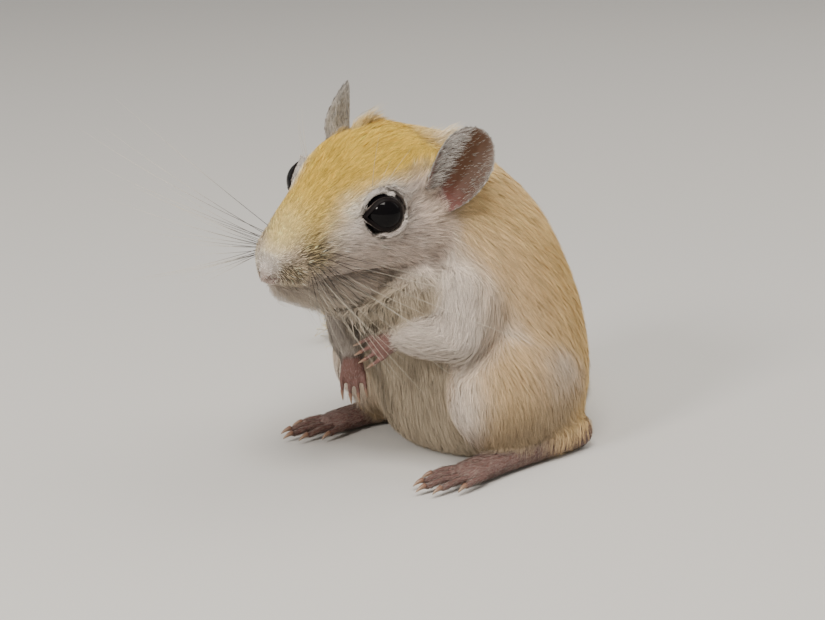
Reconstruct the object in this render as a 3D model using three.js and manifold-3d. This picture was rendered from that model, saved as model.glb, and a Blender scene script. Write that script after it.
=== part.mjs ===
// A young Mongolian gerbil of the golden kind, life size, sitting up with its forepaws held before its chest.
// Millimetres, +Z up. It faces -Y and its left side is +X. The origin is the middle of the footprint, on the floor.
import * as THREE from "three";
import { mergeVertices } from "three/addons/utils/BufferGeometryUtils.js";
import Module from "manifold-3d";

const wasm = await Module();
wasm.setup();

// Driving dimensions

const GAP = 0.3; // between parts that touch
const EYE_HEIGHT = 38; // from the floor to the point midway between the eyes
const HEAD_YAW = 7; // degrees, to the animal's left
const HEAD_PITCH = 4; // degrees, nose down
const HEAD_ROLL = 9; // degrees, left side down

const EYE_SPREAD = 7.0; // from the midline to the eyeball's centre
const EYE_RADIUS = 2.8;
const LID_RADIUS = 2.5; // of the opening between the lids
const LID_THICKNESS = 0.42;
const EYE_AXIS = [0.84, -0.5, 0.2]; // the way the left eye looks, in the head's own frame

// Each ear's foot and tip and the way its cup faces, in the head's own frame, as if it were the left one.
const LEFT_EAR = { sign: 1, foot: [10.1, 6.6, -0.6], tip: [12.8, 12.2, 10.4], opens: [0.66, -0.72, 0.15] };
const RIGHT_EAR = { sign: -1, foot: [9.2, 8.2, 0.6], tip: [11.8, 8.6, 11.2], opens: [0.8, -0.55, 0.05] };
const EAR_WIDTH = 4.0; // half of it, at the widest
const EAR_THICKNESS = 0.42; // half of it

const TAIL_RADIUS = 2.1; // with its short coat, at the root
const TAIL_TIP_RADIUS = 1.3;
const BRUSH_LENGTH = 24; // of the tail's end that carries long hair
const BRUSH_TIERS = 5;
const BRUSH_LOCKS = 5; // in each tier

const DIGIT_SIDES = 5;
const CLAW_SIDES = 4;

const COAT = { gold: 0xd9ab5e, cream: 0xd8c6b4, white: 0xe6ddd8, skin: 0xb98f8f, eye: 0x0b0a0c };

const point = (x, y, z) => new THREE.Vector3(x, y, z);
const along = (list) => new THREE.Vector3(...list).normalize();
const mirrored = ([x, ...rest]) => [-x, ...rest];

// Shapes

// A closed round body threaded on a curve. Each row is a place on it and the half-width and half-height there:
// [x, y, z, wide, high]. The first and last rows are its two ends, where it closes in a round.
function threaded(rows, { sides, rings, side = [-1, 0, 0], swellings = [] }) {
  const path = new THREE.CatmullRomCurve3(rows.map(([x, y, z]) => point(x, y, z)), false, "catmullrom");
  const squares = rows.map(([, , , wide, high]) => point((wide ?? 0) ** 2, (high ?? 0) ** 2, 0));
  const sizes = new THREE.CatmullRomCurve3(squares, false, "catmullrom");
  const shape = new THREE.SphereGeometry(1, sides, rings);
  const { position, uv } = shape.attributes;
  for (let i = 0; i < position.count; i++) {
    const down = 1 - uv.getY(i);
    const end = down < 1e-6 || down > 1 - 1e-6;
    const turn = 2 * Math.PI * (uv.getX(i) % 1);
    const centre = path.getPoint(down);
    const heading = path.getTangent(down);
    const across = along(side).addScaledVector(heading, -heading.dot(along(side))).normalize();
    const upward = heading.clone().cross(across);
    const size = sizes.getPoint(down);
    const wide = end ? 0 : Math.sqrt(Math.max(size.x, 1e-3));
    const high = end ? 0 : Math.sqrt(Math.max(size.y, 1e-3));
    const outward = across.multiplyScalar(-Math.cos(turn) * wide).addScaledVector(upward, Math.sin(turn) * high);
    const place = centre.clone().add(outward);
    const lift = end ? heading.multiplyScalar(down < 0.5 ? -1 : 1) : outward.normalize();
    position.setXYZ(i, ...place.addScaledVector(lift, swellingAt(place, swellings)));
  }
  return shape;
}

// How far the surface is raised at a place. A swelling is [x, y, z, reach, rise], and a negative rise is a hollow.
function swellingAt(place, swellings) {
  let rise = 0;
  for (const [x, y, z, reach, height] of swellings) {
    const far = place.distanceTo(point(x, y, z)) / reach;
    rise += height * Math.exp(-far * far);
  }
  return rise;
}

// Each swelling of the left side, and its mirror image.
const onBothSides = (swellings) => swellings.flatMap((one) => [one, mirrored(one)]);

// A geometry's vertices as one closed mesh, moved out along its normals by an amount.
function closed(geometry, amount = 0) {
  const bare = geometry.clone();
  bare.deleteAttribute("normal");
  bare.deleteAttribute("uv");
  const merged = mergeVertices(bare, 1e-3);
  merged.computeVertexNormals();
  const { position, normal } = merged.attributes;
  for (let i = 0; i < position.count; i++) {
    const out = point(normal.getX(i), normal.getY(i), normal.getZ(i)).multiplyScalar(amount);
    position.setXYZ(i, position.getX(i) + out.x, position.getY(i) + out.y, position.getZ(i) + out.z);
  }
  return merged;
}

function solidOf(geometry, amount = 0) {
  const mesh = closed(geometry, amount);
  const numbers = { numProp: 3, vertProperties: mesh.attributes.position.array };
  return new wasm.Manifold(new wasm.Mesh({ ...numbers, triVerts: new Uint32Array(mesh.index.array) }));
}

const joined = (solids) => solids.reduce((whole, piece) => whole.add(piece));

// A part of the body before its neighbours are cut away, and the same a gap larger, to cut them with.
function flesh(...shapes) {
  return {
    body: joined(shapes.map((shape) => solidOf(shape))),
    shell: joined(shapes.map((shape) => solidOf(shape, GAP))),
  };
}

// A solid with others cut away, of which only the largest piece stays.
function cutBy(solid, ...cutters) {
  const cut = cutters.reduce((rest, cutter) => rest.subtract(cutter), solid);
  return cut.decompose().sort((a, b) => b.volume() - a.volume())[0];
}

// A thin slab across a place, which parts a body in two. It faces along the heading.
function slab(place, heading, reach, thickness = GAP) {
  const shape = new THREE.BoxGeometry(2 * reach, 2 * reach, thickness);
  shape.applyQuaternion(new THREE.Quaternion().setFromUnitVectors(point(0, 0, 1), heading.clone().normalize()));
  return solidOf(shape.translate(...place));
}

// The half of space ahead of a place, as a large block, drawn back by half a gap.
function ahead(place, heading, reach) {
  const forward = heading.clone().normalize();
  const centre = point(...place).addScaledVector(forward, reach + GAP / 2);
  return slab(centre, forward, reach, 2 * reach);
}

const FLOOR = solidOf(new THREE.BoxGeometry(600, 600, 60).translate(0, 0, -30));

// Head, in its own frame: the origin is midway between the eyes, the nose towards -Y

const headPose = new THREE.Matrix4()
  .makeTranslation(0, 0, EYE_HEIGHT)
  .multiply(new THREE.Matrix4().makeRotationZ(THREE.MathUtils.degToRad(HEAD_YAW)))
  .multiply(new THREE.Matrix4().makeRotationX(THREE.MathUtils.degToRad(HEAD_PITCH)))
  .multiply(new THREE.Matrix4().makeRotationY(THREE.MathUtils.degToRad(HEAD_ROLL)));

const posed = (shape) => shape.applyMatrix4(headPose);

function skull() {
  const rows = [
    [0, -14.4, -7.2],
    [0, -13.4, -7.3, 2.1, 2.4],
    [0, -10.2, -6.8, 4.1, 4.9],
    [0, -5.4, -4.9, 6.5, 7.3],
    [0, 0.5, -3.0, 8.4, 9.2],
    [0, 6.0, -1.9, 10.6, 10.5],
    [0, 11.5, -2.5, 11.0, 9.7],
    [0, 16.0, -3.0, 9.4, 8.6],
    [0, 20.0, -4.0],
  ];
  const swellings = onBothSides([
    [3.4, -10.5, -6.4, 2.7, 1.6], // whisker pad
    [7.4, -0.6, 3.6, 3.0, 0.7], // brow
    [5.8, -6.4, -0.4, 2.8, -0.4], // hollow before the eye
    [9.2, 5.6, -5.4, 5.0, 1.0], // cheek
    [10.6, 5.2, 1.0, 2.8, -1.7], // hollow before the ear
    [1.3, -13.7, -5.9, 1.2, 0.5], // wing of the nose
  ]);
  return posed(threaded(rows, { sides: 24, rings: 25, swellings }));
}

function lids(sign) {
  const ring = new THREE.TorusGeometry(LID_RADIUS, LID_THICKNESS, 5, 14).scale(1.08, 1, 1);
  const looks = along([sign * EYE_AXIS[0], EYE_AXIS[1], EYE_AXIS[2]]);
  const depth = Math.sqrt(EYE_RADIUS ** 2 - LID_RADIUS ** 2);
  ring.applyQuaternion(new THREE.Quaternion().setFromUnitVectors(point(0, 0, 1), looks));
  return posed(ring.translate(sign * EYE_SPREAD + looks.x * depth, looks.y * depth, looks.z * depth));
}

const eyeball = (sign) => posed(new THREE.SphereGeometry(EYE_RADIUS, 14, 10).translate(sign * EYE_SPREAD, 0, 0));

// The two nostrils, as slits that run up and out from the lip.
const nostril = (sign) =>
  posed(
    threaded(
      [
        [sign * 0.6, -14.4, -8.6],
        [sign * 1.05, -14.0, -7.9, 0.65, 0.42],
        [sign * 2.1, -13.2, -7.3],
      ],
      { sides: 8, rings: 6, side: [0, 1, 0] },
    ),
  );

// The line of the mouth: a thin curved sheet that parts the lower jaw, and the cut that ends the jaw behind.
function jawRegion(amount) {
  const outline = new THREE.Shape();
  outline.moveTo(-1, -8.6 + amount);
  outline.quadraticCurveTo(-5, -8.1 + amount, -9.5, -9.0 + amount);
  outline.lineTo(-18, -9.2 + amount);
  outline.lineTo(-18, -20);
  outline.lineTo(2.5 + amount, -20);
  outline.lineTo(-1 + amount, -8.6 + amount);
  const shape = new THREE.ExtrudeGeometry(outline, { depth: 30, bevelEnabled: false, curveSegments: 6 });
  shape.translate(0, 0, -15).rotateX(Math.PI / 2).rotateZ(Math.PI / 2);
  return solidOf(posed(shape));
}

// A thin leaf bent round its own length into a cup, which is deepest and narrowest at the foot.
function earShape({ sign, foot: base, tip, opens }) {
  const foot = point(...base);
  const upward = point(...tip).sub(foot);
  const height = upward.length() / 2;
  const length = upward.clone().normalize();
  const faces = along(opens).addScaledVector(length, -length.dot(along(opens))).normalize();
  const across = length.clone().cross(faces);
  const shape = new THREE.SphereGeometry(1, 14, 11);
  const { position } = shape.attributes;
  for (let i = 0; i < position.count; i++) {
    const share = (position.getY(i) + 1) / 2;
    const width = EAR_WIDTH * (0.54 + 1.06 * share - 0.6 * share * share);
    const bend = THREE.MathUtils.lerp(1.75, 0.85, share);
    const radius = width / Math.sin(Math.min(bend, Math.PI / 2));
    const angle = position.getX(i) * bend;
    const reach = radius - EAR_THICKNESS * position.getZ(i);
    const place = foot
      .clone()
      .addScaledVector(length, share * 2 * height)
      .addScaledVector(across, reach * Math.sin(angle))
      .addScaledVector(faces, radius * 0.6 - reach * Math.cos(angle));
    position.setXYZ(i, sign * place.x, place.y, place.z);
  }
  return posed(sign > 0 ? shape : turnedOver(shape));
}

// A mirror image keeps its faces outward once each triangle is turned over.
function turnedOver(shape) {
  const order = shape.index.array;
  for (let i = 0; i < order.length; i += 3) [order[i + 1], order[i + 2]] = [order[i + 2], order[i + 1]];
  return shape;
}

// Trunk, from inside the back of the head to the seat, and the throat, which runs from the chin into the chest

const trunk = flesh(
  threaded(
    [
      [0.3, 5.0, 36.5],
      [0.2, 9.5, 36.0, 9.6, 9.0],
      [0, 14.5, 33.6, 12.0, 11.0],
      [0, 18.5, 28.2, 14.0, 13.4],
      [0, 21.5, 21.6, 15.4, 14.4],
      [0, 23.4, 14.6, 16.4, 14.9],
      [0, 24.4, 7.6, 16.4, 14.4],
      [0, 25.0, 1.4, 14.0, 12.4],
      [0, 25.4, -5.0],
    ],
    { sides: 24, rings: 20 },
  ),
  threaded(
    [
      [-0.9, -9.6, 27.8],
      [-0.8, -7.2, 27.4, 2.6, 2.8],
      [-0.5, -3.0, 27.0, 4.9, 4.7],
      [0, 2.5, 26.6, 7.6, 7.4],
      [0, 8.0, 26.6, 9.6, 9.6],
      [0, 14.0, 27.5],
    ],
    { sides: 16, rings: 10 },
  ),
);

const NECK_PLACE = [0, 14.2, 34];
const NECK_HEADING = point(0, 0.55, -0.83);
const WAIST_PLACE = [0, 22.6, 19];
const WAIST_HEADING = point(0, 0.2, -0.98);

// Hind leg

const haunch = (sign) =>
  flesh(
    threaded(
      [
        [sign * 7.0, 32.5, 10.5],
        [sign * 8.6, 29.0, 11.0, 6.0, 8.2],
        [sign * 10.4, 23.0, 11.6, 6.9, 10.4],
        [sign * 11.7, 16.5, 11.6, 6.4, 9.6],
        [sign * 12.4, 11.4, 12.0, 4.5, 6.8],
        [sign * 12.4, 8.2, 12.4],
      ],
      { sides: 16, rings: 12 },
    ),
  );

const HIND_TOES = [
  { side: -2, reach: 3.4 },
  { side: -1, reach: 5.4 },
  { side: 0, reach: 5.9 },
  { side: 1, reach: 5.5 },
  { side: 2, reach: 3.2 },
];

function hindFoot(sign) {
  const sole = threaded(
    [
      [sign * 13.4, 33.0, 2.2],
      [sign * 13.5, 31.0, 2.2, 1.9, 2.2],
      [sign * 13.8, 24.0, 1.9, 2.0, 2.1],
      [sign * 14.2, 15.0, 1.6, 2.4, 1.8],
      [sign * 14.5, 9.5, 1.3, 2.9, 1.5],
      [sign * 14.6, 7.0, 1.1],
    ],
    { sides: 10, rings: 10 },
  );
  const toes = HIND_TOES.flatMap(({ side, reach }) => {
    const root = point(sign * (14.5 + side * 1.15), 9.6 + Math.abs(side) * 0.7, 1.0);
    return digit(root, point(sign * side * 0.1, -1, 0), point(0, 0, 1), reach + 2.4, 0.72, 1.3);
  });
  return flesh(sole, ...toes);
}

// A digit arched up from its root, and its claw, which points ahead and down.
function digit(root, heading, upward, reach, radius, claw) {
  const way = heading.clone().normalize();
  const at = (share, lift) => root.clone().addScaledVector(way, share * reach).addScaledVector(upward, lift);
  const rows = [
    [...at(0, 0)],
    [...at(0.3, radius * 0.3), radius, radius],
    [...at(0.65, radius * 0.45), radius * 0.88, radius * 0.95],
    [...at(0.9, radius * 0.05), radius * 0.82, radius * 0.85],
    [...at(1, -radius * 0.1)],
  ];
  const nail = [
    [...at(0.84, radius * 0.25)],
    [...at(0.95, radius * 0.3), 0.3, 0.36],
    [...at(1, 0.1).addScaledVector(way, claw * 0.45), 0.2, 0.26],
    [...at(1, -radius * 0.55).addScaledVector(way, claw)],
  ];
  const side = [...way.clone().cross(upward)];
  return [
    threaded(rows, { sides: DIGIT_SIDES, rings: 6, side }),
    threaded(nail, { sides: CLAW_SIDES, rings: 5, side }),
  ];
}

// Forelegs: each is given by its joints, and the way that the fingers point and the palm faces

const LEFT_ARM = {
  sign: 1,
  shoulder: [9.5, 13.5, 25.2],
  elbow: [12.6, 10.6, 19.2],
  wrist: [6.4, 3.6, 19.6],
  fingers: [-0.66, -0.52, -0.54],
  palm: [-0.62, 0.74, -0.1],
};
const RIGHT_ARM = {
  sign: -1,
  shoulder: [-9.5, 13.5, 25.2],
  elbow: [-11.6, 9.6, 19.6],
  wrist: [-4.6, 4.6, 14.4],
  fingers: [0.26, -0.12, -0.96],
  palm: [-0.62, 0.78, -0.1],
};

const between = (from, to, share) => from.map((value, i) => THREE.MathUtils.lerp(value, to[i], share));
const beyond = (from, to, length) => {
  const way = along(to.map((value, i) => value - from[i]));
  return to.map((value, i) => value + way.getComponent(i) * length);
};

function upperArm({ shoulder, elbow }) {
  return flesh(
    threaded(
      [
        [...beyond(elbow, shoulder, 5)],
        [...shoulder, 4.4, 5.6],
        [...between(shoulder, elbow, 0.55), 4.2, 5.0],
        [...elbow, 3.2, 3.6],
        [...beyond(shoulder, elbow, 3.2)],
      ],
      { sides: 12, rings: 10 },
    ),
  );
}

function forearm({ elbow, wrist }) {
  return flesh(
    threaded(
      [
        [...beyond(wrist, elbow, 2.6)],
        [...elbow, 3.4, 3.4],
        [...between(elbow, wrist, 0.5), 3.2, 3.3],
        [...between(elbow, wrist, 0.88), 2.2, 2.3],
        [...beyond(elbow, wrist, 0.9)],
      ],
      { sides: 10, rings: 9, side: [0, 0, 1] },
    ),
  );
}

function forepaw({ wrist, fingers, palm }) {
  const way = along(fingers);
  const inward = along(palm).addScaledVector(way, -way.dot(along(palm))).normalize();
  const across = way.clone().cross(inward);
  const at = (ahead, aside, lift = 0) =>
    point(...wrist).addScaledVector(way, ahead).addScaledVector(across, aside).addScaledVector(inward, lift);
  const hand = threaded(
    [
      [...at(-0.6, 0)],
      [...at(0.4, 0), 1.35, 1.15],
      [...at(1.9, 0), 1.85, 1.15],
      [...at(2.8, 0, 0.1), 1.75, 0.9],
      [...at(3.4, 0, 0.2)],
    ],
    { sides: 10, rings: 7, side: [...across] },
  );
  const fingersOf = [-1.5, -0.5, 0.5, 1.5].flatMap((place) => {
    const root = at(2.3 - Math.abs(place) * 0.25, place, 0.1);
    const heading = way.clone().addScaledVector(across, place * 0.04);
    return digit(root, heading, inward.clone().negate(), 3.6 - Math.abs(place) * 0.3, 0.5, 1.2);
  });
  return flesh(hand, ...fingersOf);
}

// Tail: laid on the floor, round to the animal's right

const TAIL_PATH = new THREE.CatmullRomCurve3(
  [
    [0, 33, 5.5],
    [-1, 41, 3.2],
    [-5.5, 49, 2.1],
    [-13.5, 55.5, 1.9],
    [-24, 58, 1.7],
    [-35, 56, 1.5],
    [-44.5, 50, 1.4],
    [-51, 42, 1.3],
  ].map((place) => point(...place)),
);

function tailCore() {
  const last = TAIL_PATH.points.length - 1;
  const rows = TAIL_PATH.points.map(({ x, y, z }, i) => {
    const radius = THREE.MathUtils.lerp(TAIL_RADIUS, TAIL_TIP_RADIUS, i / last) + (i === 1 ? 0.9 : 0);
    return i === 0 || i === last ? [x, y, z] : [x, y, z, radius, radius];
  });
  return threaded(rows, { sides: 10, rings: 24, side: [0, 0, 1] });
}

// The brush: tiers of flat tapered locks that lie back along the tail, longest near its end.
function brush() {
  const locks = [];
  const whole = TAIL_PATH.getLength();
  for (let tier = 0; tier < BRUSH_TIERS; tier++) {
    for (let i = 0; i < BRUSH_LOCKS; i++) {
      const start = 1 - (BRUSH_LENGTH * (1 - (tier + 0.35) / BRUSH_TIERS)) / whole;
      const centre = TAIL_PATH.getPointAt(start);
      const heading = TAIL_PATH.getTangentAt(start);
      const level = heading.clone().cross(point(0, 0, 1)).normalize();
      const turn = Math.PI * (-0.12 + (1.24 * (i + (tier % 2) * 0.5)) / (BRUSH_LOCKS - 0.5));
      const outward = level.multiplyScalar(Math.cos(turn)).addScaledVector(point(0, 0, 1), Math.sin(turn));
      const reach = 6.5 + 1.2 * Math.sin(2.3 * tier + 1.7 * i);
      const at = (share, lift) =>
        centre.clone().addScaledVector(heading, share * reach).addScaledVector(outward, lift);
      const rows = [
        [...at(-0.06, 0.5)],
        [...at(0.18, 1.05), 0.75, 0.34],
        [...at(0.6, 1.75), 0.7, 0.3],
        [...at(1, 1.9)],
      ];
      locks.push(threaded(rows, { sides: 5, rings: 4, side: [...heading.clone().cross(outward)] }));
    }
  }
  return locks;
}

// Assembly: each part is cut clear of those that it meets

const model = new THREE.Group();
model.name = "gerbil";

function place(name, solid, colour, roughness = 0.85) {
  const whole = cutBy(solid, FLOOR);
  const { vertProperties, triVerts, numProp } = whole.getMesh();
  const geometry = new THREE.BufferGeometry();
  const places = new Float32Array((vertProperties.length / numProp) * 3);
  for (let i = 0; i * numProp < vertProperties.length; i++)
    places.set(vertProperties.subarray(i * numProp, i * numProp + 3), i * 3);
  geometry.setAttribute("position", new THREE.BufferAttribute(places, 3));
  geometry.setIndex(new THREE.BufferAttribute(triVerts, 1));
  geometry.computeVertexNormals();
  const mesh = new THREE.Mesh(geometry, new THREE.MeshStandardMaterial({ color: colour, roughness, metalness: 0 }));
  mesh.name = name;
  model.add(mesh);
}

const eyes = { left: flesh(eyeball(1)), right: flesh(eyeball(-1)) };
const head = flesh(skull(), lids(1), lids(-1));
const headCarved = [eyes.left.shell, eyes.right.shell, solidOf(nostril(1)), solidOf(nostril(-1))];

place("eye_left", eyes.left.body, COAT.eye, 0.08);
place("eye_right", eyes.right.body, COAT.eye, 0.08);
place("head", cutBy(head.body, ...headCarved, jawRegion(GAP)), COAT.gold);
place("lower_jaw", cutBy(head.body.intersect(jawRegion(0)), ...headCarved), COAT.white);
place("ear_left", cutBy(solidOf(earShape(LEFT_EAR)), head.shell, trunk.shell), COAT.skin, 0.7);
place("ear_right", cutBy(solidOf(earShape(RIGHT_EAR)), head.shell, trunk.shell), COAT.skin, 0.7);

const haunches = { left: haunch(1), right: haunch(-1) };
const feet = { left: hindFoot(1), right: hindFoot(-1) };
const arms = [
  { name: "left", joints: LEFT_ARM },
  { name: "right", joints: RIGHT_ARM },
].map(({ name, joints }) => ({
  name,
  upper: upperArm(joints),
  lower: forearm(joints),
  paw: forepaw(joints),
}));

for (const { name, upper, lower, paw } of arms) {
  place("upper_arm_" + name, cutBy(upper.body, head.shell), COAT.white);
  place("forearm_" + name, cutBy(lower.body, upper.shell, head.shell), COAT.white);
  place("forepaw_" + name, cutBy(paw.body, lower.shell, upper.shell), COAT.skin, 0.65);
}

const armShells = arms.flatMap(({ upper, lower, paw }) => [upper.shell, lower.shell, paw.shell]);
for (const name of ["left", "right"]) {
  place("hind_foot_" + name, feet[name].body, COAT.skin, 0.65);
  place("haunch_" + name, cutBy(haunches[name].body, feet[name].shell, ...armShells), COAT.cream);
}

const tail = flesh(tailCore());
const limbs = [
  haunches.left.shell,
  haunches.right.shell,
  feet.left.shell,
  feet.right.shell,
  ...armShells,
];
const bare = trunk.body.subtract(head.shell);
const REACH = 80;
const behindNeck = ahead(NECK_PLACE, NECK_HEADING, REACH);
const belowWaist = ahead(WAIST_PLACE, WAIST_HEADING, REACH);
const beforeNeck = ahead(NECK_PLACE, NECK_HEADING.clone().negate(), REACH);
const aboveWaist = ahead(WAIST_PLACE, WAIST_HEADING.clone().negate(), REACH);
place("neck", cutBy(bare.intersect(beforeNeck), ...limbs), COAT.gold);
place("chest", cutBy(bare.intersect(behindNeck).intersect(aboveWaist), ...limbs), COAT.gold);
place("abdomen", cutBy(bare.intersect(belowWaist), ...limbs), COAT.cream);

const TAIL_LENGTHS = ["tail_root", "tail_middle", "tail_end"];
const seatCut = joined([trunk.shell, haunches.left.shell, haunches.right.shell]);
const furred = joined([tail.body, ...brush().map((lock) => solidOf(lock))]);
const parting = [0.36, 0.66].map((share) => slab(TAIL_PATH.getPointAt(share), TAIL_PATH.getTangentAt(share), 4));
const lengths = parting
  .reduce((rest, cut) => rest.subtract(cut), furred.subtract(seatCut))
  .decompose()
  .sort((a, b) => b.volume() - a.volume())
  .slice(0, TAIL_LENGTHS.length)
  .sort((a, b) => b.boundingBox().max[0] - a.boundingBox().max[0]);
TAIL_LENGTHS.forEach((name, i) => place(name, lengths[i], COAT.gold));

const footprint = new THREE.Box3().setFromObject(model);
const middle = footprint.getCenter(point(0, 0, 0));
for (const mesh of model.children) mesh.geometry.translate(-middle.x, -middle.y, -footprint.min.z);

export default model;
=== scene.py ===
"""A life-size young golden gerbil, sitting up with its forepaws held before its chest.

The skin is one surface over the solids of flesh, and the coat is thin tapered tufts that grow out of it.
Sizes are in millimetres unless a name says otherwise. The animal faces -Y and its left side is +X.
"""

import math

import bmesh
import bpy
import numpy as np
from bpy.props import FloatProperty, FloatVectorProperty, IntProperty, PointerProperty
from mathutils import Euler, Matrix, Vector
from mathutils.bvhtree import BVHTree
from mathutils.kdtree import KDTree


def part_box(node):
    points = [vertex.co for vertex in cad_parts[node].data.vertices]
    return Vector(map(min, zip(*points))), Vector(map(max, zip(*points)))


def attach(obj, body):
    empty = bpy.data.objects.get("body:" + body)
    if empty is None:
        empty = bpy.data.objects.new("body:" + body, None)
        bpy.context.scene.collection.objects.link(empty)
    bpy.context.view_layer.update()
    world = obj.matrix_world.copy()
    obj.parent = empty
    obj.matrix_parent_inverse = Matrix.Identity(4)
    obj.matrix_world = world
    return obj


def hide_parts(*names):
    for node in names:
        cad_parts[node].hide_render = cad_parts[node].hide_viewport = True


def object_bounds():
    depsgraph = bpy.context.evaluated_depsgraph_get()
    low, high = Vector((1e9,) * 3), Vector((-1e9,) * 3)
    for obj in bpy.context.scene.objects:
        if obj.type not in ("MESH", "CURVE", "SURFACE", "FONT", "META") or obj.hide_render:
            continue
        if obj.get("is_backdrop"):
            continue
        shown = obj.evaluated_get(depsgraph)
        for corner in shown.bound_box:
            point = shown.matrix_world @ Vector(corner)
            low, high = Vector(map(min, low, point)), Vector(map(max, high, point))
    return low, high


bl_info = {
    "name": "Young Golden Gerbil",
    "version": (1, 0, 0),
    "blender": (4, 5, 0),
    "location": "View3D > Sidebar > Gerbil",
    "description": "A life-size young golden gerbil with a coat of fine tufts",
    "category": "Object",
}

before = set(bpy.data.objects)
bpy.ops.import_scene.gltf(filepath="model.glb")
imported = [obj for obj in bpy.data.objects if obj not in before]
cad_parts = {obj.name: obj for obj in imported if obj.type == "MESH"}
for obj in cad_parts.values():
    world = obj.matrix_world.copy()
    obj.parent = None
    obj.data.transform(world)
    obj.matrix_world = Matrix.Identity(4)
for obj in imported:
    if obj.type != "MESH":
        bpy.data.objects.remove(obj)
CAD_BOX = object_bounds()

# Places on the animal

MM = 0.001
EYE_HEIGHT = 38.0  # of the point midway between the eyes, above the floor
HEAD_TURN = (4.0, 9.0, 7.0)  # degrees about X, Y and Z, as the head is held
EYE_SPREAD = 7.0  # from the midline to the middle of each eye
EYE_RADIUS = 2.8
EYE_AXIS = (0.84, -0.5, 0.2)  # the way the left eye looks, in the head's own frame
LIDS_WIDE = 1.93  # half the opening between the lids
LIDS_HIGH = 1.88
LIDS_CORNER = 0.85  # how far their front corner is drawn out
LIDS_CORNER_TURN = 0.3  # half the width of that corner, in radians
LIDS_CORNER_POWER = 1.3  # how sharp it is
BEHIND_EYE = 9.0  # what stands for any distance on the side that the eye doesn't look to


def middle_of(node):
    """The middle of a solid, in metres."""
    low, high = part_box(node)
    return (low + high) / 2


EYE_MIDDLE = (middle_of("eye_left") + middle_of("eye_right")) / 2
HEAD = Matrix.LocRotScale(
    EYE_MIDDLE, Euler([math.radians(turn) for turn in HEAD_TURN], "YXZ"), Vector((MM, MM, MM))
)
BODY = Matrix.LocRotScale(
    EYE_MIDDLE - Vector((0, 0, EYE_HEIGHT * MM)), Euler((0, 0, 0)), Vector((MM, MM, MM))
)


HEAD_TURNED = np.array(HEAD.to_3x3().normalized())


def placed(points, matrix):
    """Places in the head's or the body's own frame, as metres."""
    forth = np.array(matrix)
    return points @ forth[:3, :3].T + forth[:3, 3]


def in_frame(points, matrix):
    """Places in metres, as millimetres in the head's or the body's own frame."""
    return placed(points, matrix.inverted())


def mirrored(place, side):
    """A place or direction of the left side, on the side asked for: 1 is left and -1 is right."""
    return Vector((side * place[0], place[1], place[2]))


def eye_frame():
    """The way the left eye looks, and the ways forward and up across it, in the head's own frame."""
    axis = Vector(EYE_AXIS).normalized()
    forward = Vector((0, -1, 0))
    forward = (forward - axis * forward.dot(axis)).normalized()
    return axis, forward, forward.cross(axis)


def lid_reach(angle):
    """From the middle of the eye to the edge of its lids, at an angle from their front corner."""
    turned = np.arctan2(np.sin(angle), np.cos(angle))
    oval = LIDS_WIDE + (LIDS_HIGH - LIDS_WIDE) * np.sin(turned) ** 2
    return oval + LIDS_CORNER * np.exp(-np.abs(turned / LIDS_CORNER_TURN) ** LIDS_CORNER_POWER)


def from_lids(head):
    """How far places lie outside the lids of the eye on their side, across the way that it looks."""
    axis, forward, upward = (np.array(way) for way in eye_frame())
    off = np.stack([np.abs(head[:, 0]) - EYE_SPREAD, head[:, 1], head[:, 2]], 1)
    over, fore, high = off @ axis, off @ forward, off @ upward
    return np.where(over > 0, np.hypot(fore, high) - lid_reach(np.arctan2(high, fore)), BEHIND_EYE)


# Parts that the coat covers, by the solid they are in

FLESH = sorted(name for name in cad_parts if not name.startswith("eye_"))

# Hair of each part: its length, the width of a tuft, tufts to a square millimetre, how far the tips stand off
# for each millimetre of length, and how much its solid is smoothed.
COAT = {
    "head": (2.4, 0.062, 92, 0.27, 0.2),
    "lower_jaw": (2.4, 0.065, 80, 0.3, 0.2),
    "ear": (0.8, 0.045, 60, 0.25, 0.1),
    "neck": (3.8, 0.075, 70, 0.26, 1.0),
    "chest": (4.3, 0.08, 60, 0.26, 1.0),
    "abdomen": (4.5, 0.085, 48, 0.26, 1.0),
    "upper_arm": (3.6, 0.075, 66, 0.28, 0.8),
    "forearm": (3.0, 0.065, 70, 0.26, 0.4),
    "forepaw": (0.55, 0.04, 14, 0.2, 0.0),
    "haunch": (4.1, 0.08, 56, 0.24, 1.0),
    "hind_foot": (0.8, 0.05, 40, 0.2, 0.05),
    "tail": (1.8, 0.065, 60, 0.24, 0.3),
}


def part_of(node):
    """The part of the body that a solid belongs to, without its side."""
    for part in sorted(COAT, key=len, reverse=True):
        if node.startswith(part):
            return part
    raise KeyError(node)


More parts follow.
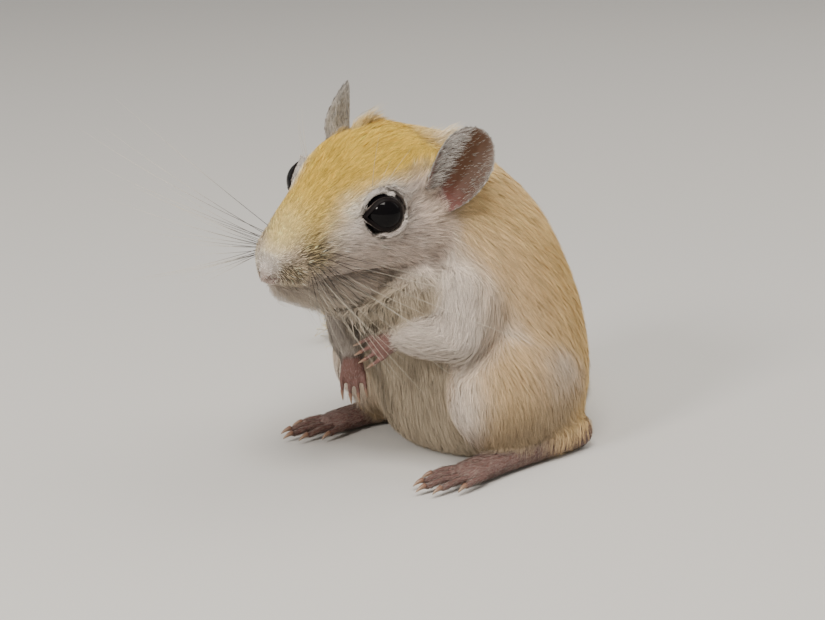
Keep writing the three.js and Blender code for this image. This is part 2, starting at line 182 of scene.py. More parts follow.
# Which way the hair lies: places and directions. Those of the head are in the head's own frame.
HEAD_LIE = [
    ((0, -14.6, -5.0), (0.1, 0.75, 0.7)),
    ((0, -12.0, -2.6), (0, 0.9, 0.5)),
    ((0, -7.0, 1.6), (0.05, 0.9, 0.5)),
    ((0, -2.0, 5.4), (0.05, 0.95, 0.35)),
    ((0, 5.0, 8.4), (0.05, 1, 0.05)),
    ((0, 11.0, 7.2), (0.05, 0.95, -0.35)),
    ((3.5, 6.0, 7.6), (0.25, 0.95, 0.05)),
    ((2.0, -13.6, -7.6), (0.5, 0.6, -0.75)),
    ((4.6, -11.6, -5.4), (0.55, 0.85, 0.1)),
    ((4.4, -10.0, -8.4), (0.35, 0.9, -0.5)),
    ((0, -12.4, -10.6), (0.1, 0.6, -0.8)),
    ((2.4, -11.0, -10.2), (0.1, 0.5, -0.9)),
    ((0, -5.0, -11.6), (0.1, 0.6, -0.8)),
    ((5.2, -5.6, -2.4), (0.5, 0.85, -0.05)),
    ((5.2, -5.6, 0.2), (0.45, 0.85, 0.35)),
    ((5.6, -7.0, -3.6), (0.5, 0.85, 0.3)),
    ((4.2, -9.4, -3.2), (0.3, 0.6, 0.75)),
    ((4.4, -4.4, 3.0), (0.3, 0.85, 0.55)),
    ((6.6, -1.2, 4.2), (0.4, 0.8, 0.6)),
    ((7.6, 2.6, 4.4), (0.3, 0.95, 0.35)),
    ((8.2, 0.6, -3.6), (0.3, 0.95, -0.25)),
    ((6.8, -4.0, -4.2), (0.35, 0.95, -0.25)),
    ((9.6, 3.6, -0.4), (0.3, 1, 0.0)),
    ((9.6, 6.2, 1.6), (0.15, 0.5, 0.85)),
    ((8.4, 5.2, 4.2), (0, 0.4, 1)),
    ((7.0, 6.6, 6.4), (-0.3, 0.5, 0.8)),
    ((10.4, 6.0, -5.0), (0.2, 0.95, -0.35)),
    ((7.6, 1.6, -9.4), (0.2, 0.9, -0.5)),
    ((9.4, 12.0, -3.0), (0.1, 0.95, -0.4)),
    ((6.0, 12.0, 5.6), (0.2, 0.95, -0.2)),
]
BODY_LIE = [
    ((0, 15.0, 44.0), (0, 0.75, -0.65)),
    ((0, 26.0, 36.0), (0, 0.5, -0.87)),
    ((0, 35.0, 24.0), (0, 0.15, -1)),
    ((0, 39.0, 10.0), (0, -0.05, -1)),
    ((10.0, 16.0, 36.0), (0.1, 0.75, -0.65)),
    ((13.5, 20.0, 28.0), (0.05, 0.6, -0.8)),
    ((15.5, 23.0, 20.0), (0.05, 0.45, -0.9)),
    ((8.0, 8.0, 27.0), (0.2, 0.2, -1)),
    ((5.0, 7.0, 22.0), (0.15, 0.1, -1)),
    ((0, 6.0, 27.0), (0, -0.1, -1)),
    ((0, 7.0, 18.0), (0, 0.1, -1)),
    ((0, 9.0, 8.0), (0, 0.2, -1)),
    ((8.0, 10.0, 12.0), (0.25, 0.2, -1)),
    ((15.0, 26.0, 6.0), (0, 0.4, -0.9)),
]
HAUNCH_LIE = [
    ((17.0, 16.0, 18.0), (0, 0.5, -0.85)),
    ((18.0, 22.0, 12.0), (0, 0.45, -0.9)),
    ((17.0, 12.0, 8.0), (0, 0.1, -1)),
    ((12.0, 8.5, 14.0), (0.2, -0.1, -1)),
    ((12.0, 30.0, 14.0), (0, 0.25, -1)),
]


def both_sides(guides):
    """Guides of the left side and of the midline, with the mirror images of those off the midline."""
    turned = [(mirrored(place, -1), mirrored(way, -1)) for place, way in guides if place[0] > 0]
    return [(Vector(place), Vector(way)) for place, way in guides] + turned


# The joints of the forelegs and the way that the fingers point, in the body's frame.
ARMS = {
    "left": {
        "shoulder": (9.5, 13.5, 25.2),
        "elbow": (12.6, 10.6, 19.2),
        "wrist": (6.4, 3.6, 19.6),
        "fingers": (-0.66, -0.52, -0.54),
        "palm": (-0.62, 0.74, -0.1),
    },
    "right": {
        "shoulder": (-9.5, 13.5, 25.2),
        "elbow": (-11.6, 9.6, 19.6),
        "wrist": (-4.6, 4.6, 14.4),
        "fingers": (0.26, -0.12, -0.96),
        "palm": (-0.62, 0.78, -0.1),
    },
}
SIDES = {"left": 1, "right": -1}
EARS = {
    "left": {"foot": (10.1, 6.6, -0.6), "tip": (12.8, 12.2, 10.4), "opens": (0.66, -0.72, 0.15)},
    "right": {"foot": (9.2, 8.2, 0.6), "tip": (11.8, 8.6, 11.2), "opens": (0.8, -0.55, 0.05)},
}
EAR_WIDTH = 4.0  # half of it
EAR_TUFTS = ((3.8, 13.2, 6.4), (-4.8, 6.4, 7.5))  # of pale hair that stands up before each ear, on the head


FINGERS = (-1.5, -0.5, 0.5, 1.5)  # their places across the paw
FINGER_RADIUS = 0.5
FINGER_CLAW = 1.2
TOES = ((-2, 3.4), (-1, 5.4), (0, 5.9), (1, 5.5), (2, 3.2))  # their places across the foot and their reach
TOE_SPREAD = 1.15
TOE_BALL = 2.4  # from the root of a toe to where its reach starts
TOE_RADIUS = 0.72
TOE_CLAW = 1.3
FOOT_MIDDLE = (14.5, 9.6, 1.0)


def fore_digits(arm):
    """Root, heading, upward way, reach, radius and claw of each finger, in the body's frame."""
    way = Vector(arm["fingers"]).normalized()
    palm = Vector(arm["palm"]).normalized()
    inward = (palm - way * palm.dot(way)).normalized()
    across = way.cross(inward)
    for place in FINGERS:
        root = Vector(arm["wrist"]) + way * (2.3 - abs(place) * 0.25) + across * place + inward * 0.1
        ahead = (way + across * place * 0.04).normalized()
        yield root, ahead, -inward, 3.6 - abs(place) * 0.3, FINGER_RADIUS, FINGER_CLAW


def hind_digits(side):
    """The same of each toe."""
    x, y, z = FOOT_MIDDLE
    for place, reach in TOES:
        root = Vector((side * (x + place * TOE_SPREAD), y + abs(place) * 0.7, z))
        way = Vector((side * place * 0.1, -1, 0)).normalized()
        yield root, way, Vector((0, 0, 1)), reach + TOE_BALL, TOE_RADIUS, TOE_CLAW


def all_digits():
    for name, side in SIDES.items():
        yield from fore_digits(ARMS[name])
        yield from hind_digits(side)


# Along the midline, places and heights: where the gold of the head ends, in the head's frame, and the line
# that the colour of the back follows, in the body's frame.
GOLD_EDGE = ((-14, -11.5, -8.4, -7, -4, -0.6, 4, 8, 14), (-5, -3.1, -2.5, -1.7, 1.4, 3.7, 4.0, 3.4, 2))
SPINE = ((0, 7.6, 14.6, 21.6, 28.2, 33.6, 36.5), (25, 24.4, 23.4, 21.5, 18.5, 14.5, 9.5))

# Places where the hair or its colour changes, and how far each reaches, in the head's own frame
SPOTS = {
    "nose": ((0, -14.4, -7.6), 1.5),
    "nose_side": ((0.9, -13.9, -6.2), 2.0),
    "muzzle_top": ((0.9, -13.9, -5.9), 1.9),
    "nostril": ((1.35, -13.8, -7.8), 0.65),
    "lip": ((0, -13.8, -8.6), 1.6),
    "pad_back": ((4.7, -9.7, -4.6), 2.3),
    "pad_front": ((3.2, -12.2, -6.9), 2.0),
    "before_eye": ((5.0, -4.8, 0.4), 1.8),
    "below_eye": ((5.2, -6.4, -2.6), 1.6),
    "ear_foot": ((9.7, 7.0, 0.9), 2.1),
    "ear_notch": ((10.0, 8.1, 0.9), 1.4),
    "over_ear_foot": ((8.6, 6.8, 4.0), 1.2),
}
THROAT = ((1.0, -6.0, 24.5), 6.0)  # this and the next two in the body's frame
CHEST_MIDDLE = ((0, -3.0, 24.0), 4.5)
PALE_THIGH = ((15.5, 24.0, 15.5), 4.4)

TAIL_PATH = [
    (0, 33, 5.5),
    (-1, 41, 3.2),
    (-5.5, 49, 2.1),
    (-13.5, 55.5, 1.9),
    (-24, 58, 1.7),
    (-35, 56, 1.5),
    (-44.5, 50, 1.4),
    (-51, 42, 1.3),
]

# Colours, as linear shares of red, green and blue

GOLD = (0.68, 0.455, 0.065)
PALE_GOLD = (0.86, 0.70, 0.32)
TAN = (0.66, 0.46, 0.21)
CREAM = (0.67, 0.50, 0.33)
# Paler gold of the back of the head and the top of the neck: partly the coat's own colour and partly painted
# light that lifts the shade behind the ears
NAPE = (0.76, 0.55, 0.26)
WHITE = (0.88, 0.82, 0.76)
UNDER = (0.70, 0.61, 0.53)
# Painted shade: a dark cream laid on the white underside, under the chin and on the lower chest and belly
SHADY = (0.43, 0.35, 0.245)
# Painted shade: a dark tan laid on the lowest part of the haunch, near the floor
LOW_HAUNCH_SHADE = (0.36, 0.27, 0.17)
LILAC = (0.64, 0.53, 0.46)
MAUVE = (0.42, 0.30, 0.27)
PAD = (0.40, 0.31, 0.16)
PAD_SKIN = (0.05, 0.035, 0.025)
# Pink skin of the paws, feet and lip, darkened as painted shade of the forepaws under the head
SHADED_PINK_SKIN = (0.16, 0.078, 0.066)
# Sparse hair of the paws and feet, darkened as painted shade
SHADED_PAW_HAIR = (0.27, 0.20, 0.175)
NOSTRIL = (0.07, 0.025, 0.022)
# Brown skin inside the ear's cup: partly its own colour and partly painted shade of the hollow
SHADED_EAR_SKIN = (0.055, 0.022, 0.008)
EAR_DEEP = (0.14, 0.045, 0.04)
EAR_EDGE = (0.40, 0.35, 0.32)
EAR_DOWN = (0.27, 0.25, 0.22)
EAR_FRINGE = (0.56, 0.52, 0.48)
EAR_BACK = (0.60, 0.57, 0.53)
EAR_FOLD = (0.20, 0.13, 0.105)
DARK_SKIN = (0.012, 0.008, 0.008)
EYE = (0.003, 0.0025, 0.003)
LID = (0.006, 0.004, 0.004)
LID_EDGE = (0.26, 0.22, 0.19)
LID_FUR = (0.13, 0.105, 0.09)
WHISKER_ROOT = (0.02, 0.013, 0.01)
WHISKER = (0.60, 0.54, 0.44)
CLAW_ROOT = (0.20, 0.10, 0.07)
CLAW_TIP = (0.34, 0.24, 0.16)
FLOOR = (0.62, 0.61, 0.59)


def step(values, low, high):
    """A smooth rise from 0 at low to 1 at high."""
    share = np.clip((values - low) / (high - low), 0, 1)
    return share * share * (3 - 2 * share)


def near(points, place, reach):
    """1 at a place, falling off smoothly over its reach."""
    return np.exp(-(((points - np.array(place, float)) / reach) ** 2).sum(1))


def toward(colours, colour, share):
    """Colours moved part of the way to another one."""
    return colours + (np.array(colour) - colours) * np.reshape(share, (-1, 1))


def painted(colours, *layers):
    """Colours with others laid over them in turn, each with its share at each point."""
    for colour, share in layers:
        colours = toward(colours, colour, share)
    return colours


def filled(colour, count):
    """One colour, as many times as asked for."""
    return np.tile(np.array(colour), (count, 1))


def bump_at(values, middle, reach):
    """1 where values are at a middle, falling off smoothly on both sides."""
    return np.exp(-(((values - middle) / reach) ** 2))


def unit(vectors):
    return vectors / np.maximum(np.linalg.norm(vectors, axis=1, keepdims=True), 1e-12)


# Long hairs of the face, in the head's frame. The ways are those of the front and back whiskers, and how the
# lower ones turn from them.

WHISKER_ROWS = 5
WHISKER_COLUMNS = 5
WHISKER_WAYS = {
    "left": ((0.42, 0.05, -1.0), (0.74, 0.5, -0.42), (-0.15, -0.15, -0.5)),
    "right": ((-0.5, -0.85, 0.0), (-0.85, -0.4, 0.05), (0, 0.1, -0.95)),
}
BROW_HAIRS = (  # place, way and length
    ((6.2, -1.4, 3.6), (0.2, -0.25, 0.95), 9.0),
    ((7.0, -0.2, 3.8), (0.45, 0.1, 0.9), 7.0),
    ((6.8, -1.0, 3.8), (0.35, -0.1, 0.9), 5.0),
)


# Settings


class GerbilCoatSettings(bpy.types.PropertyGroup):
    """Sizes of the skin and the coat."""

    skin_detail: FloatProperty(
        name="Skin Detail",
        description="Width of the cells that the skin is drawn over the flesh with",
        default=0.18 * MM,
        precision=6,
        subtype="DISTANCE",
    )
    skin_triangles: IntProperty(
        name="Skin Triangles", description="How many triangles the skin keeps", default=150000, min=1000
    )
    seam_width: FloatProperty(
        name="Seam Width",
        description="How far each part is widened so that its joins close",
        default=0.2 * MM,
        precision=6,
        subtype="DISTANCE",
    )
    thickness: FloatProperty(
        name="Thickness", description="Share of the full number of tufts", default=1.0, min=0.05, max=2.0
    )
    hair_length: FloatProperty(
        name="Hair Length", description="Length of the hair against the real one's", default=1, min=0.2, max=2
    )
    clumping: FloatProperty(
        name="Clumping", description="How far the tips of the tufts gather", default=0.35, subtype="FACTOR"
    )
    gold: FloatVectorProperty(
        name="Gold", description="Colour of the crown", default=GOLD, size=3, subtype="COLOR"
    )
    tan: FloatVectorProperty(
        name="Tan", description="Colour of the back and flanks", default=TAN, size=3, subtype="COLOR"
    )
    white: FloatVectorProperty(
        name="White", description="Colour of the underside", default=UNDER, size=3, subtype="COLOR"
    )


class GerbilFaceSettings(bpy.types.PropertyGroup):
    """Sizes of the eyes, whiskers and claws."""

    eye_gloss: FloatProperty(
        name="Eye Roughness", description="Roughness of the wet eye", default=0.04, min=0, subtype="FACTOR"
    )
    whisker_length: FloatProperty(
        name="Whisker Length",
        description="Length of the longest whisker",
        default=33 * MM,
        subtype="DISTANCE",
    )
    whisker_width: FloatProperty(
        name="Whisker Width",
        description="Width of a whisker at its root",
        default=0.075 * MM,
        precision=6,
        subtype="DISTANCE",
    )


class GerbilStageSettings(bpy.types.PropertyGroup):
    """The floor, lights and camera."""

    floor_colour: FloatVectorProperty(
        name="Floor", description="Colour of the floor", default=FLOOR, size=3, subtype="COLOR"
    )
    light: FloatProperty(name="Light", description="Strength of the studio light", default=1.0, min=0)
    azimuth: FloatProperty(
        name="Azimuth",
        description="Turn of the camera about the animal",
        default=math.radians(50),
        subtype="ANGLE",
    )
    elevation: FloatProperty(
        name="Elevation",
        description="Height of the camera as an angle",
        default=math.radians(15),
        subtype="ANGLE",
    )
    distance: FloatProperty(
        name="Distance", description="From the camera to the aim point", default=290 * MM, subtype="DISTANCE"
    )
    lens: FloatProperty(name="Lens", description="Focal length in millimetres", default=96.1, unit="CAMERA")


def coat_settings():
    return bpy.context.scene.gerbil_coat


def face_settings():
    return bpy.context.scene.gerbil_face


def stage_settings():
    return bpy.context.scene.gerbil_stage


# Objects and meshes


def settled(name, mesh, material, slot_name, *nodes):
    """A finished piece: an object at the origin that stays with the body and wears a material."""
    piece = linked(name, mesh)
    mesh.materials.clear()
    mesh.materials.append(material)
    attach(piece, "root")
    if nodes:
        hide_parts(*nodes)
    return piece


def mesh_of(bm, name, smooth=True):
    """A mesh from a bmesh, which is then freed."""
    mesh = bpy.data.meshes.new(name)
    for face in bm.faces:
        face.smooth = smooth
    bm.to_mesh(mesh)
    bm.free()
    return mesh


def rows_of(items, attribute, wide=3, kind=float):
    """A value of each item of a mesh, as the rows of an array."""
    values = np.empty(len(items) * wide, kind)
    items.foreach_get(attribute, values)
    return values.reshape(-1, wide)


def linked(name, data):
    """A new object in the scene."""
    piece = bpy.data.objects.new(name, data)
    bpy.context.scene.collection.objects.link(piece)
    return piece


def spread(values, edges, rounds, share=0.5):
    """Values of a mesh's points, evened out with their neighbours' a number of times."""
    count = len(values)
    starts = np.concatenate([edges[:, 0], edges[:, 1]])
    ends = np.concatenate([edges[:, 1], edges[:, 0]])
    neighbours = np.maximum(np.bincount(starts, minlength=count), 1)
    flat = values.reshape(count, -1)
    for _ in range(rounds):
        columns = [np.bincount(starts, column[ends], count) / neighbours for column in flat.T]
        flat = flat * (1 - share) + np.stack(columns, 1) * share
    return flat.reshape(values.shape)


def put_colours(mesh, name, colours):
    """Stores a colour for each point of a mesh."""
    full = np.ones((len(mesh.vertices), 4), np.float32)
    full[:, :3] = colours
    mesh.color_attributes.new(name, "FLOAT_COLOR", "POINT").data.foreach_set("color", full.ravel())


# Materials


def colour_node(tree, attribute):
    node = tree.nodes.new("ShaderNodeVertexColor")
    node.layer_name = attribute
    return node.outputs["Color"]


def plain_material(name, colour=(0.5, 0.5, 0.5), roughness=0.5, **sockets):
    """A material with its main shader, whose other sockets are set by name."""
    material = bpy.data.materials.new(name)
    material.use_nodes = True
    shader = material.node_tree.nodes["Principled BSDF"]
    shader.inputs["Base Color"].default_value = (*colour, 1)
    shader.inputs["Roughness"].default_value = roughness
    for socket, value in sockets.items():
        shader.inputs[socket.replace("_", " ")].default_value = value
    return material, shader


def mottle_group():
    """Fine uneven colour that both the skin and the coat wear, as a group with named inputs."""
    group = bpy.data.node_groups.get("Mottle")
    if group:
        return group
    group = bpy.data.node_groups.new("Mottle", "ShaderNodeTree")
    for title, end, kind in (
        ("Color", "INPUT", "Color"),
        ("Scale", "INPUT", "Float"),
        ("Amount", "INPUT", "Float"),
        ("Color", "OUTPUT", "Color"),
        ("Height", "OUTPUT", "Float"),
    ):
        group.interface.new_socket(title, in_out=end, socket_type="NodeSocket" + kind)
    inside = group.nodes.new("NodeGroupInput")
    outside = group.nodes.new("NodeGroupOutput")
    place = group.nodes.new("ShaderNodeTexCoord")
    noise = group.nodes.new("ShaderNodeTexNoise")
    noise.inputs["Detail"].default_value = 3
    centred = group.nodes.new("ShaderNodeMath")
    centred.operation = "SUBTRACT"
    centred.inputs[1].default_value = 0.5
    scaled = group.nodes.new("ShaderNodeMath")
    scaled.operation = "MULTIPLY_ADD"
    scaled.inputs[2].default_value = 1.0
    tinted = group.nodes.new("ShaderNodeVectorMath")
    tinted.operation = "SCALE"
    for giver, output, taker, socket in (
        (place, "Object", noise, "Vector"),
        (inside, "Scale", noise, "Scale"),
        (noise, "Fac", centred, 0),
        (centred, 0, scaled, 0),
        (inside, "Amount", scaled, 1),
        (inside, "Color", tinted, 0),
        (scaled, 0, tinted, "Scale"),
        (tinted, 0, outside, "Color"),
        (noise, "Fac", outside, "Height"),
    ):
        group.links.new(giver.outputs[output], taker.inputs[socket])
    return group


def mottled(material, shader, attribute, scale, amount, bump=0.0, depth=0.0):
    """Colours a material from an attribute of its mesh, unevenly, and may raise its grain a little."""
    tree = material.node_tree
    mottle = tree.nodes.new("ShaderNodeGroup")
    mottle.node_tree = mottle_group()
    mottle.inputs["Scale"].default_value = scale
    mottle.inputs["Amount"].default_value = amount
    tree.links.new(colour_node(tree, attribute), mottle.inputs["Color"])
    tree.links.new(mottle.outputs["Color"], shader.inputs["Base Color"])
    if bump:
        raised = tree.nodes.new("ShaderNodeBump")
        raised.inputs["Strength"].default_value = bump
        raised.inputs["Distance"].default_value = depth
        tree.links.new(mottle.outputs["Height"], raised.inputs["Height"])
        tree.links.new(raised.outputs["Normal"], shader.inputs["Normal"])


def coat_material():
    material = bpy.data.materials.get("Fine coat")
    if material:
        return material
    material, shader = plain_material(
        "Fine coat", roughness=0.62, Specular_IOR_Level=0.28, Sheen_Weight=0.12, Sheen_Roughness=0.5
    )
    mottled(material, shader, "Tint", 420, 0.24)
    return material


def skin_material():
    material, shader = plain_material("Thin skin", roughness=0.55, Specular_IOR_Level=0.3)
    mottled(material, shader, "Tint", 2600, 0.5, bump=0.5, depth=0.08 * MM)
    return material


# Skin


def nearest_solids(points):
    """For each point, the number in FLESH of the solid that it lies closest to."""
    corners, faces, owners = [], [], []
    for number, name in enumerate(FLESH):
        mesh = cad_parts[name].data
        first = len(corners)
        corners.extend(vertex.co for vertex in mesh.vertices)
        faces.extend([first + corner for corner in face.vertices] for face in mesh.polygons)
        owners.extend([number] * len(mesh.polygons))
    tree = BVHTree.FromPolygons(corners, faces)
    owners = np.array(owners)
    return owners[[tree.find_nearest(Vector(point))[2] for point in points]]


SEAM_REACH = 0.9 * MM  # how far from its neighbour a part is widened to meet it
SAME_PLACE = 1e-6  # metres between points that are made one
CLAW_END = 0.1 * MM  # what is left of a solid claw, which the horn one then covers
CLAW_TAPER = 0.6
FIRM_ROUNDS = 6  # of smoothing for the whole skin
SOFT_ROUNDS = 110  # of smoothing for a point whose share is 1
EYE_SOFTNESS = 0.7
CREASE_SOFTNESS = 0.9
FACE_SOFTNESS = 0.2  # the share that the table of the coat gives to the head


def drawn_over_flesh():
    """One closed surface over all the solids of flesh, without the joins between them."""
    settings = coat_settings()
    rough = linked("Flesh", widened_flesh(settings.seam_width))
    cells = rough.modifiers.new("Cells", "REMESH")
    cells.mode = "VOXEL"
    cells.voxel_size = settings.skin_detail
    drawn = evaluated(rough)
    rough.modifiers.clear()
    rough.data = drawn
    shares = softness_of(rows_of(drawn.vertices, "co"))
    group = rough.vertex_groups.new(name="Soft")
    for share in np.unique(shares):
        group.add(np.flatnonzero(shares == share).tolist(), float(share), "REPLACE")
    add_smoothing(rough, FIRM_ROUNDS)
    add_smoothing(rough, SOFT_ROUNDS, "Soft")
    fewer = rough.modifiers.new("Fewer", "DECIMATE")
    fewer.ratio = min(1.0, settings.skin_triangles / (2 * len(drawn.polygons)))
    fewer.use_collapse_triangulate = True
    final = evaluated(rough)
    bpy.data.objects.remove(rough)
    return largest_part(final)


def widened_flesh(seam_width):
    """Copies of the solids, widened where they are close to one another, with their claws drawn in."""
    bm = bmesh.new()
    solids = []
    for name in FLESH:
        solid = bmesh.new()
        solid.from_mesh(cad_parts[name].data)
        bmesh.ops.remove_doubles(solid, verts=solid.verts, dist=SAME_PLACE)
        solid.normal_update()
        solids.append(solid)
    trees = [BVHTree.FromBMesh(solid) for solid in solids]
    for number, solid in enumerate(solids):
        others = trees[:number] + trees[number + 1 :]
        for vertex in solid.verts:
            gaps = [tree.find_nearest(vertex.co, SEAM_REACH)[3] for tree in others]
            gap = min((far for far in gaps if far is not None), default=SEAM_REACH)
            vertex.co += vertex.normal * seam_width * min(1.0, 2 - 2 * gap / SEAM_REACH)
        bm.from_mesh(mesh_of(solid, "Widened"))
    for root, way, _, reach, radius, claw in all_digits():
        tip = BODY @ (root + way * reach)
        ahead = (BODY.to_3x3() @ way).normalized()
        for vertex in bm.verts:
            far = vertex.co - tip
            past = far.dot(ahead)
            aside = far - ahead * past
            if 0 < past < (claw + 0.3) * MM and aside.length < (radius + 0.1) * MM:
                vertex.co = tip + aside * CLAW_TAPER + ahead * min(past, CLAW_END)
    return mesh_of(bm, "Flesh")


def softness_of(points):
    """How far each point of the skin is smoothed, which is most where the flesh is soft."""
    softness = np.array([COAT[part_of(name)][4] for name in FLESH])
    shares = softness[nearest_solids(points)]
    head = in_frame(points, HEAD)
    _, y, z = head.T
    round_eye = np.linalg.norm(np.abs(head) * (1, 0, 0) + head * (0, 1, 1) - (EYE_SPREAD, 0, 0), axis=1)
    at_eye = step(from_lids(head), 0.25, 0.9) * step(-round_eye, -5.6, -4.6)
    shares = np.maximum(shares, EYE_SOFTNESS * at_eye)
    crease = step(-np.abs(z + 9), -3, -1.5) * step(y, -10, -8) * step(-y, -8, -4)
    crease = CREASE_SOFTNESS * crease * np.isin(shares, (FACE_SOFTNESS,))
    return np.round(np.maximum(shares, crease), 1)


def add_smoothing(piece, rounds, group=""):
    smoothing = piece.modifiers.new("Smoothing", "SMOOTH")
    smoothing.factor = 0.5
    smoothing.iterations = rounds
    smoothing.vertex_group = group


def evaluated(piece):
    """A mesh of a piece with its modifiers applied."""
    graph = bpy.context.evaluated_depsgraph_get()
    return bpy.data.meshes.new_from_object(piece.evaluated_get(graph))


def largest_part(mesh):
    """The mesh without the small closed scraps that lie inside it."""
    bm = bmesh.new()
    bm.from_mesh(mesh)
    unseen = set(bm.verts)
    parts = []
    while unseen:
        part, front = set(), [unseen.pop()]
        while front:
            vertex = front.pop()
            part.add(vertex)
            for edge in vertex.link_edges:
                other = edge.other_vert(vertex)
                if other in unseen:
                    unseen.discard(other)
                    front.append(other)
        parts.append(part)
    parts.sort(key=len)
    bmesh.ops.delete(bm, geom=[vertex for part in parts[:-1] for vertex in part], context="VERTS")
    bmesh.ops.triangulate(bm, faces=bm.faces)
    return mesh_of(bm, "Skin")


MOST_DEPTH = 1.3  # the most that the skin lies inside the solids
TAIL_DEPTH = 0.45
EAR_DEPTH = 0.1
LEVEL_REACH = 1.5  # how far outside the lids the skin comes down to them


class Pelt:
    """What the coat needs to know at each point of the skin."""

    def __init__(self, mesh):
        self.points = rows_of(mesh.vertices, "co")
        self.edges = rows_of(mesh.edges, "vertices", 2, np.int64)
        self.out = rows_of(mesh.vertex_normals, "vector")
        self.body = in_frame(self.points, BODY)
        self.head = in_frame(self.points, HEAD)
        self.side = np.stack([np.abs(self.head[:, 0]), self.head[:, 1], self.head[:, 2]], 1)
        self.from_lid = from_lids(self.head)
        self.owner = nearest_solids(self.points)
        parts = np.array([list(COAT[part_of(name)]) for name in FLESH])
        self.length, self.width, self.thick, self.stand = parts[self.owner][:, :4].T
        self.find_ears()
        self.shape_hair()
        self.way = self.lie_of_hair()
        self.tint = self.markings_light_and_shade()

    def on(self, *parts):
        """1 at the points of some parts of the body, and 0 elsewhere."""
        numbers = [i for i, name in enumerate(FLESH) if part_of(name) in parts]
        return np.isin(self.owner, numbers).astype(float)

    def find_ears(self):
        """Where on each ear a point is: up it, across it from front to back, and whether inside its cup."""
        count = len(self.points)
        self.up_ear, self.across_ear, self.in_cup = np.zeros(count), np.zeros(count), np.zeros(count)
        self.ear_way = np.zeros((count, 3))
        for name, side in SIDES.items():
            ear = EARS[name]
            foot = mirrored(ear["foot"], side)
            rise = mirrored(ear["tip"], side) - foot
            upward = rise.normalized()
            opens = mirrored(ear["opens"], side).normalized()
            faces = (opens - upward * upward.dot(opens)).normalized()
            across = upward.cross(faces) * side
            chosen = self.owner == FLESH.index("ear_" + name)
            spots = self.head[chosen] - np.array(foot)
            out = self.out[chosen] @ HEAD_TURNED
            self.up_ear[chosen] = spots @ np.array(upward) / rise.length
            self.across_ear[chosen] = spots @ np.array(across) / EAR_WIDTH
            curve = out - np.outer(out @ np.array(upward), upward)
            inward = curve @ np.array(faces) - 0.75 * (curve @ np.array(across)) * self.across_ear[chosen]
            self.in_cup[chosen] = inward > 0
            self.ear_way[chosen] = HEAD_TURNED @ np.array(upward)
            cup = chosen & (self.in_cup > 0)
            self.ear_way[cup] = HEAD_TURNED @ np.array(across * 0.8 + upward * 0.55)

    def spot(self, name):
        """1 at a named place of the head, on both sides, falling off over its reach."""
        return near(self.side, *SPOTS[name])

    def change(self, share, **more):
        """Makes the hair longer, wider, denser or further off the skin, by named parts of what it is."""
        for field, part in more.items():
            setattr(self, field, getattr(self, field) * (1 + part * share))

    def shape_hair(self):
        """The size, stand and number of the tufts, which are finest on the muzzle and round the eyes."""
        head = self.on("head", "lower_jaw")
        ear = self.on("ear")
        _, y, z = self.head.T
        lid = self.from_lid

        muzzle = step(y, -14.0, 2.0)
        cheeks = step(-z, 2.0, 9.0) * step(y, -2, 7)
        chin = step(-z, 8.4, 10.2)
        face = 0.2 + 0.8 * muzzle + 0.4 * cheeks + 0.9 * chin
        face *= 0.25 + 0.75 * step(lid, 0.2, 3.0)
        tufted = sum(near(self.head, place, 1.7) for place in EAR_TUFTS) * head
        face *= 1 + 1.5 * tufted
        face *= 1 - 0.65 * self.spot("ear_foot")
        self.length = np.where(head > 0, self.length * face, self.length)
        self.width = np.where(head > 0, self.width * (0.62 + 0.38 * muzzle), self.width)
        self.change(tufted, stand=3.0)

        pads = np.maximum(self.spot("pad_back"), 0.9 * self.spot("pad_front"))
        self.pads = np.clip(1.35 * pads, 0, 1) * self.on("head")
        self.change(self.pads, stand=1.3, length=0.3)

        under = step(-self.out[:, 2], 0.0, 0.7) * self.on("lower_jaw")
        hang = np.maximum(under, 0.25 * (near(self.body, *THROAT) * self.on("neck")))
        self.change(hang, thick=0.8, stand=1.6)
        self.length = self.length * (1 + hang * (0.4 + 0.7 * step(y, -12, -7)))

        brush = self.on("tail") * step(-self.body[:, 0], 22, 40)
        self.change(brush, length=2.8, stand=-0.4, width=0.4)

        wrist = np.minimum(*[np.linalg.norm(self.body - arm["wrist"], axis=1) for arm in ARMS.values()])
        at_wrist = self.length * (0.35 + 0.65 * step(wrist, 1, 6))
        self.length = np.where(self.on("forearm") > 0, at_wrist, self.length)
        self.fringe = ear * self.in_cup * step(-self.across_ear, 0.1, 0.7)
        self.change(self.fringe, length=1.3)

        fields = np.stack([self.length, self.width, self.stand], 1)
        even = spread(fields, self.edges, 16)
        self.length, self.width, self.stand = np.where(ear[:, None] > 0, fields, even).T
        self.length *= coat_settings().hair_length

        self.bare = step(lid, 0.16, 0.3)
        self.notch = self.spot("ear_notch")
        self.change(1 - step(lid, 0.5, 1.2), thick=0.8)
        self.thick = self.thick * (0.05 + 0.95 * self.bare)
        self.change(self.spot("nose"), thick=-0.5)
        cup = 0.05 + 0.6 * self.fringe + 0.5 * step(self.across_ear, 0.3, 0.85)
        self.thick = self.thick * np.where(ear * self.in_cup > 0, cup, 1)
        self.change(ear * (1 - self.in_cup), thick=1.2)
        self.change(self.notch * head, thick=-0.75)
        self.change(self.pads, thick=-0.72, width=0.45)
        specks = 0.45 * self.spot("nose_side") * self.on("head") + 0.35 * ear * self.in_cup
        self.speckle = np.maximum(self.pads, specks)

    def guided(self, points, guides, nearest=4):
        """Directions of the guides round each point, the closest counting most."""
        places = np.array([place for place, _ in guides])
        ways = unit(np.array([way for _, way in guides]))
        far = ((points[:, None, :] - places[None]) ** 2).sum(2) + 0.3
        order = np.argpartition(far, nearest - 1, axis=1)[:, :nearest]
        shares = 1 / np.take_along_axis(far, order, 1)
        return (ways[order] * shares[:, :, None]).sum(1)

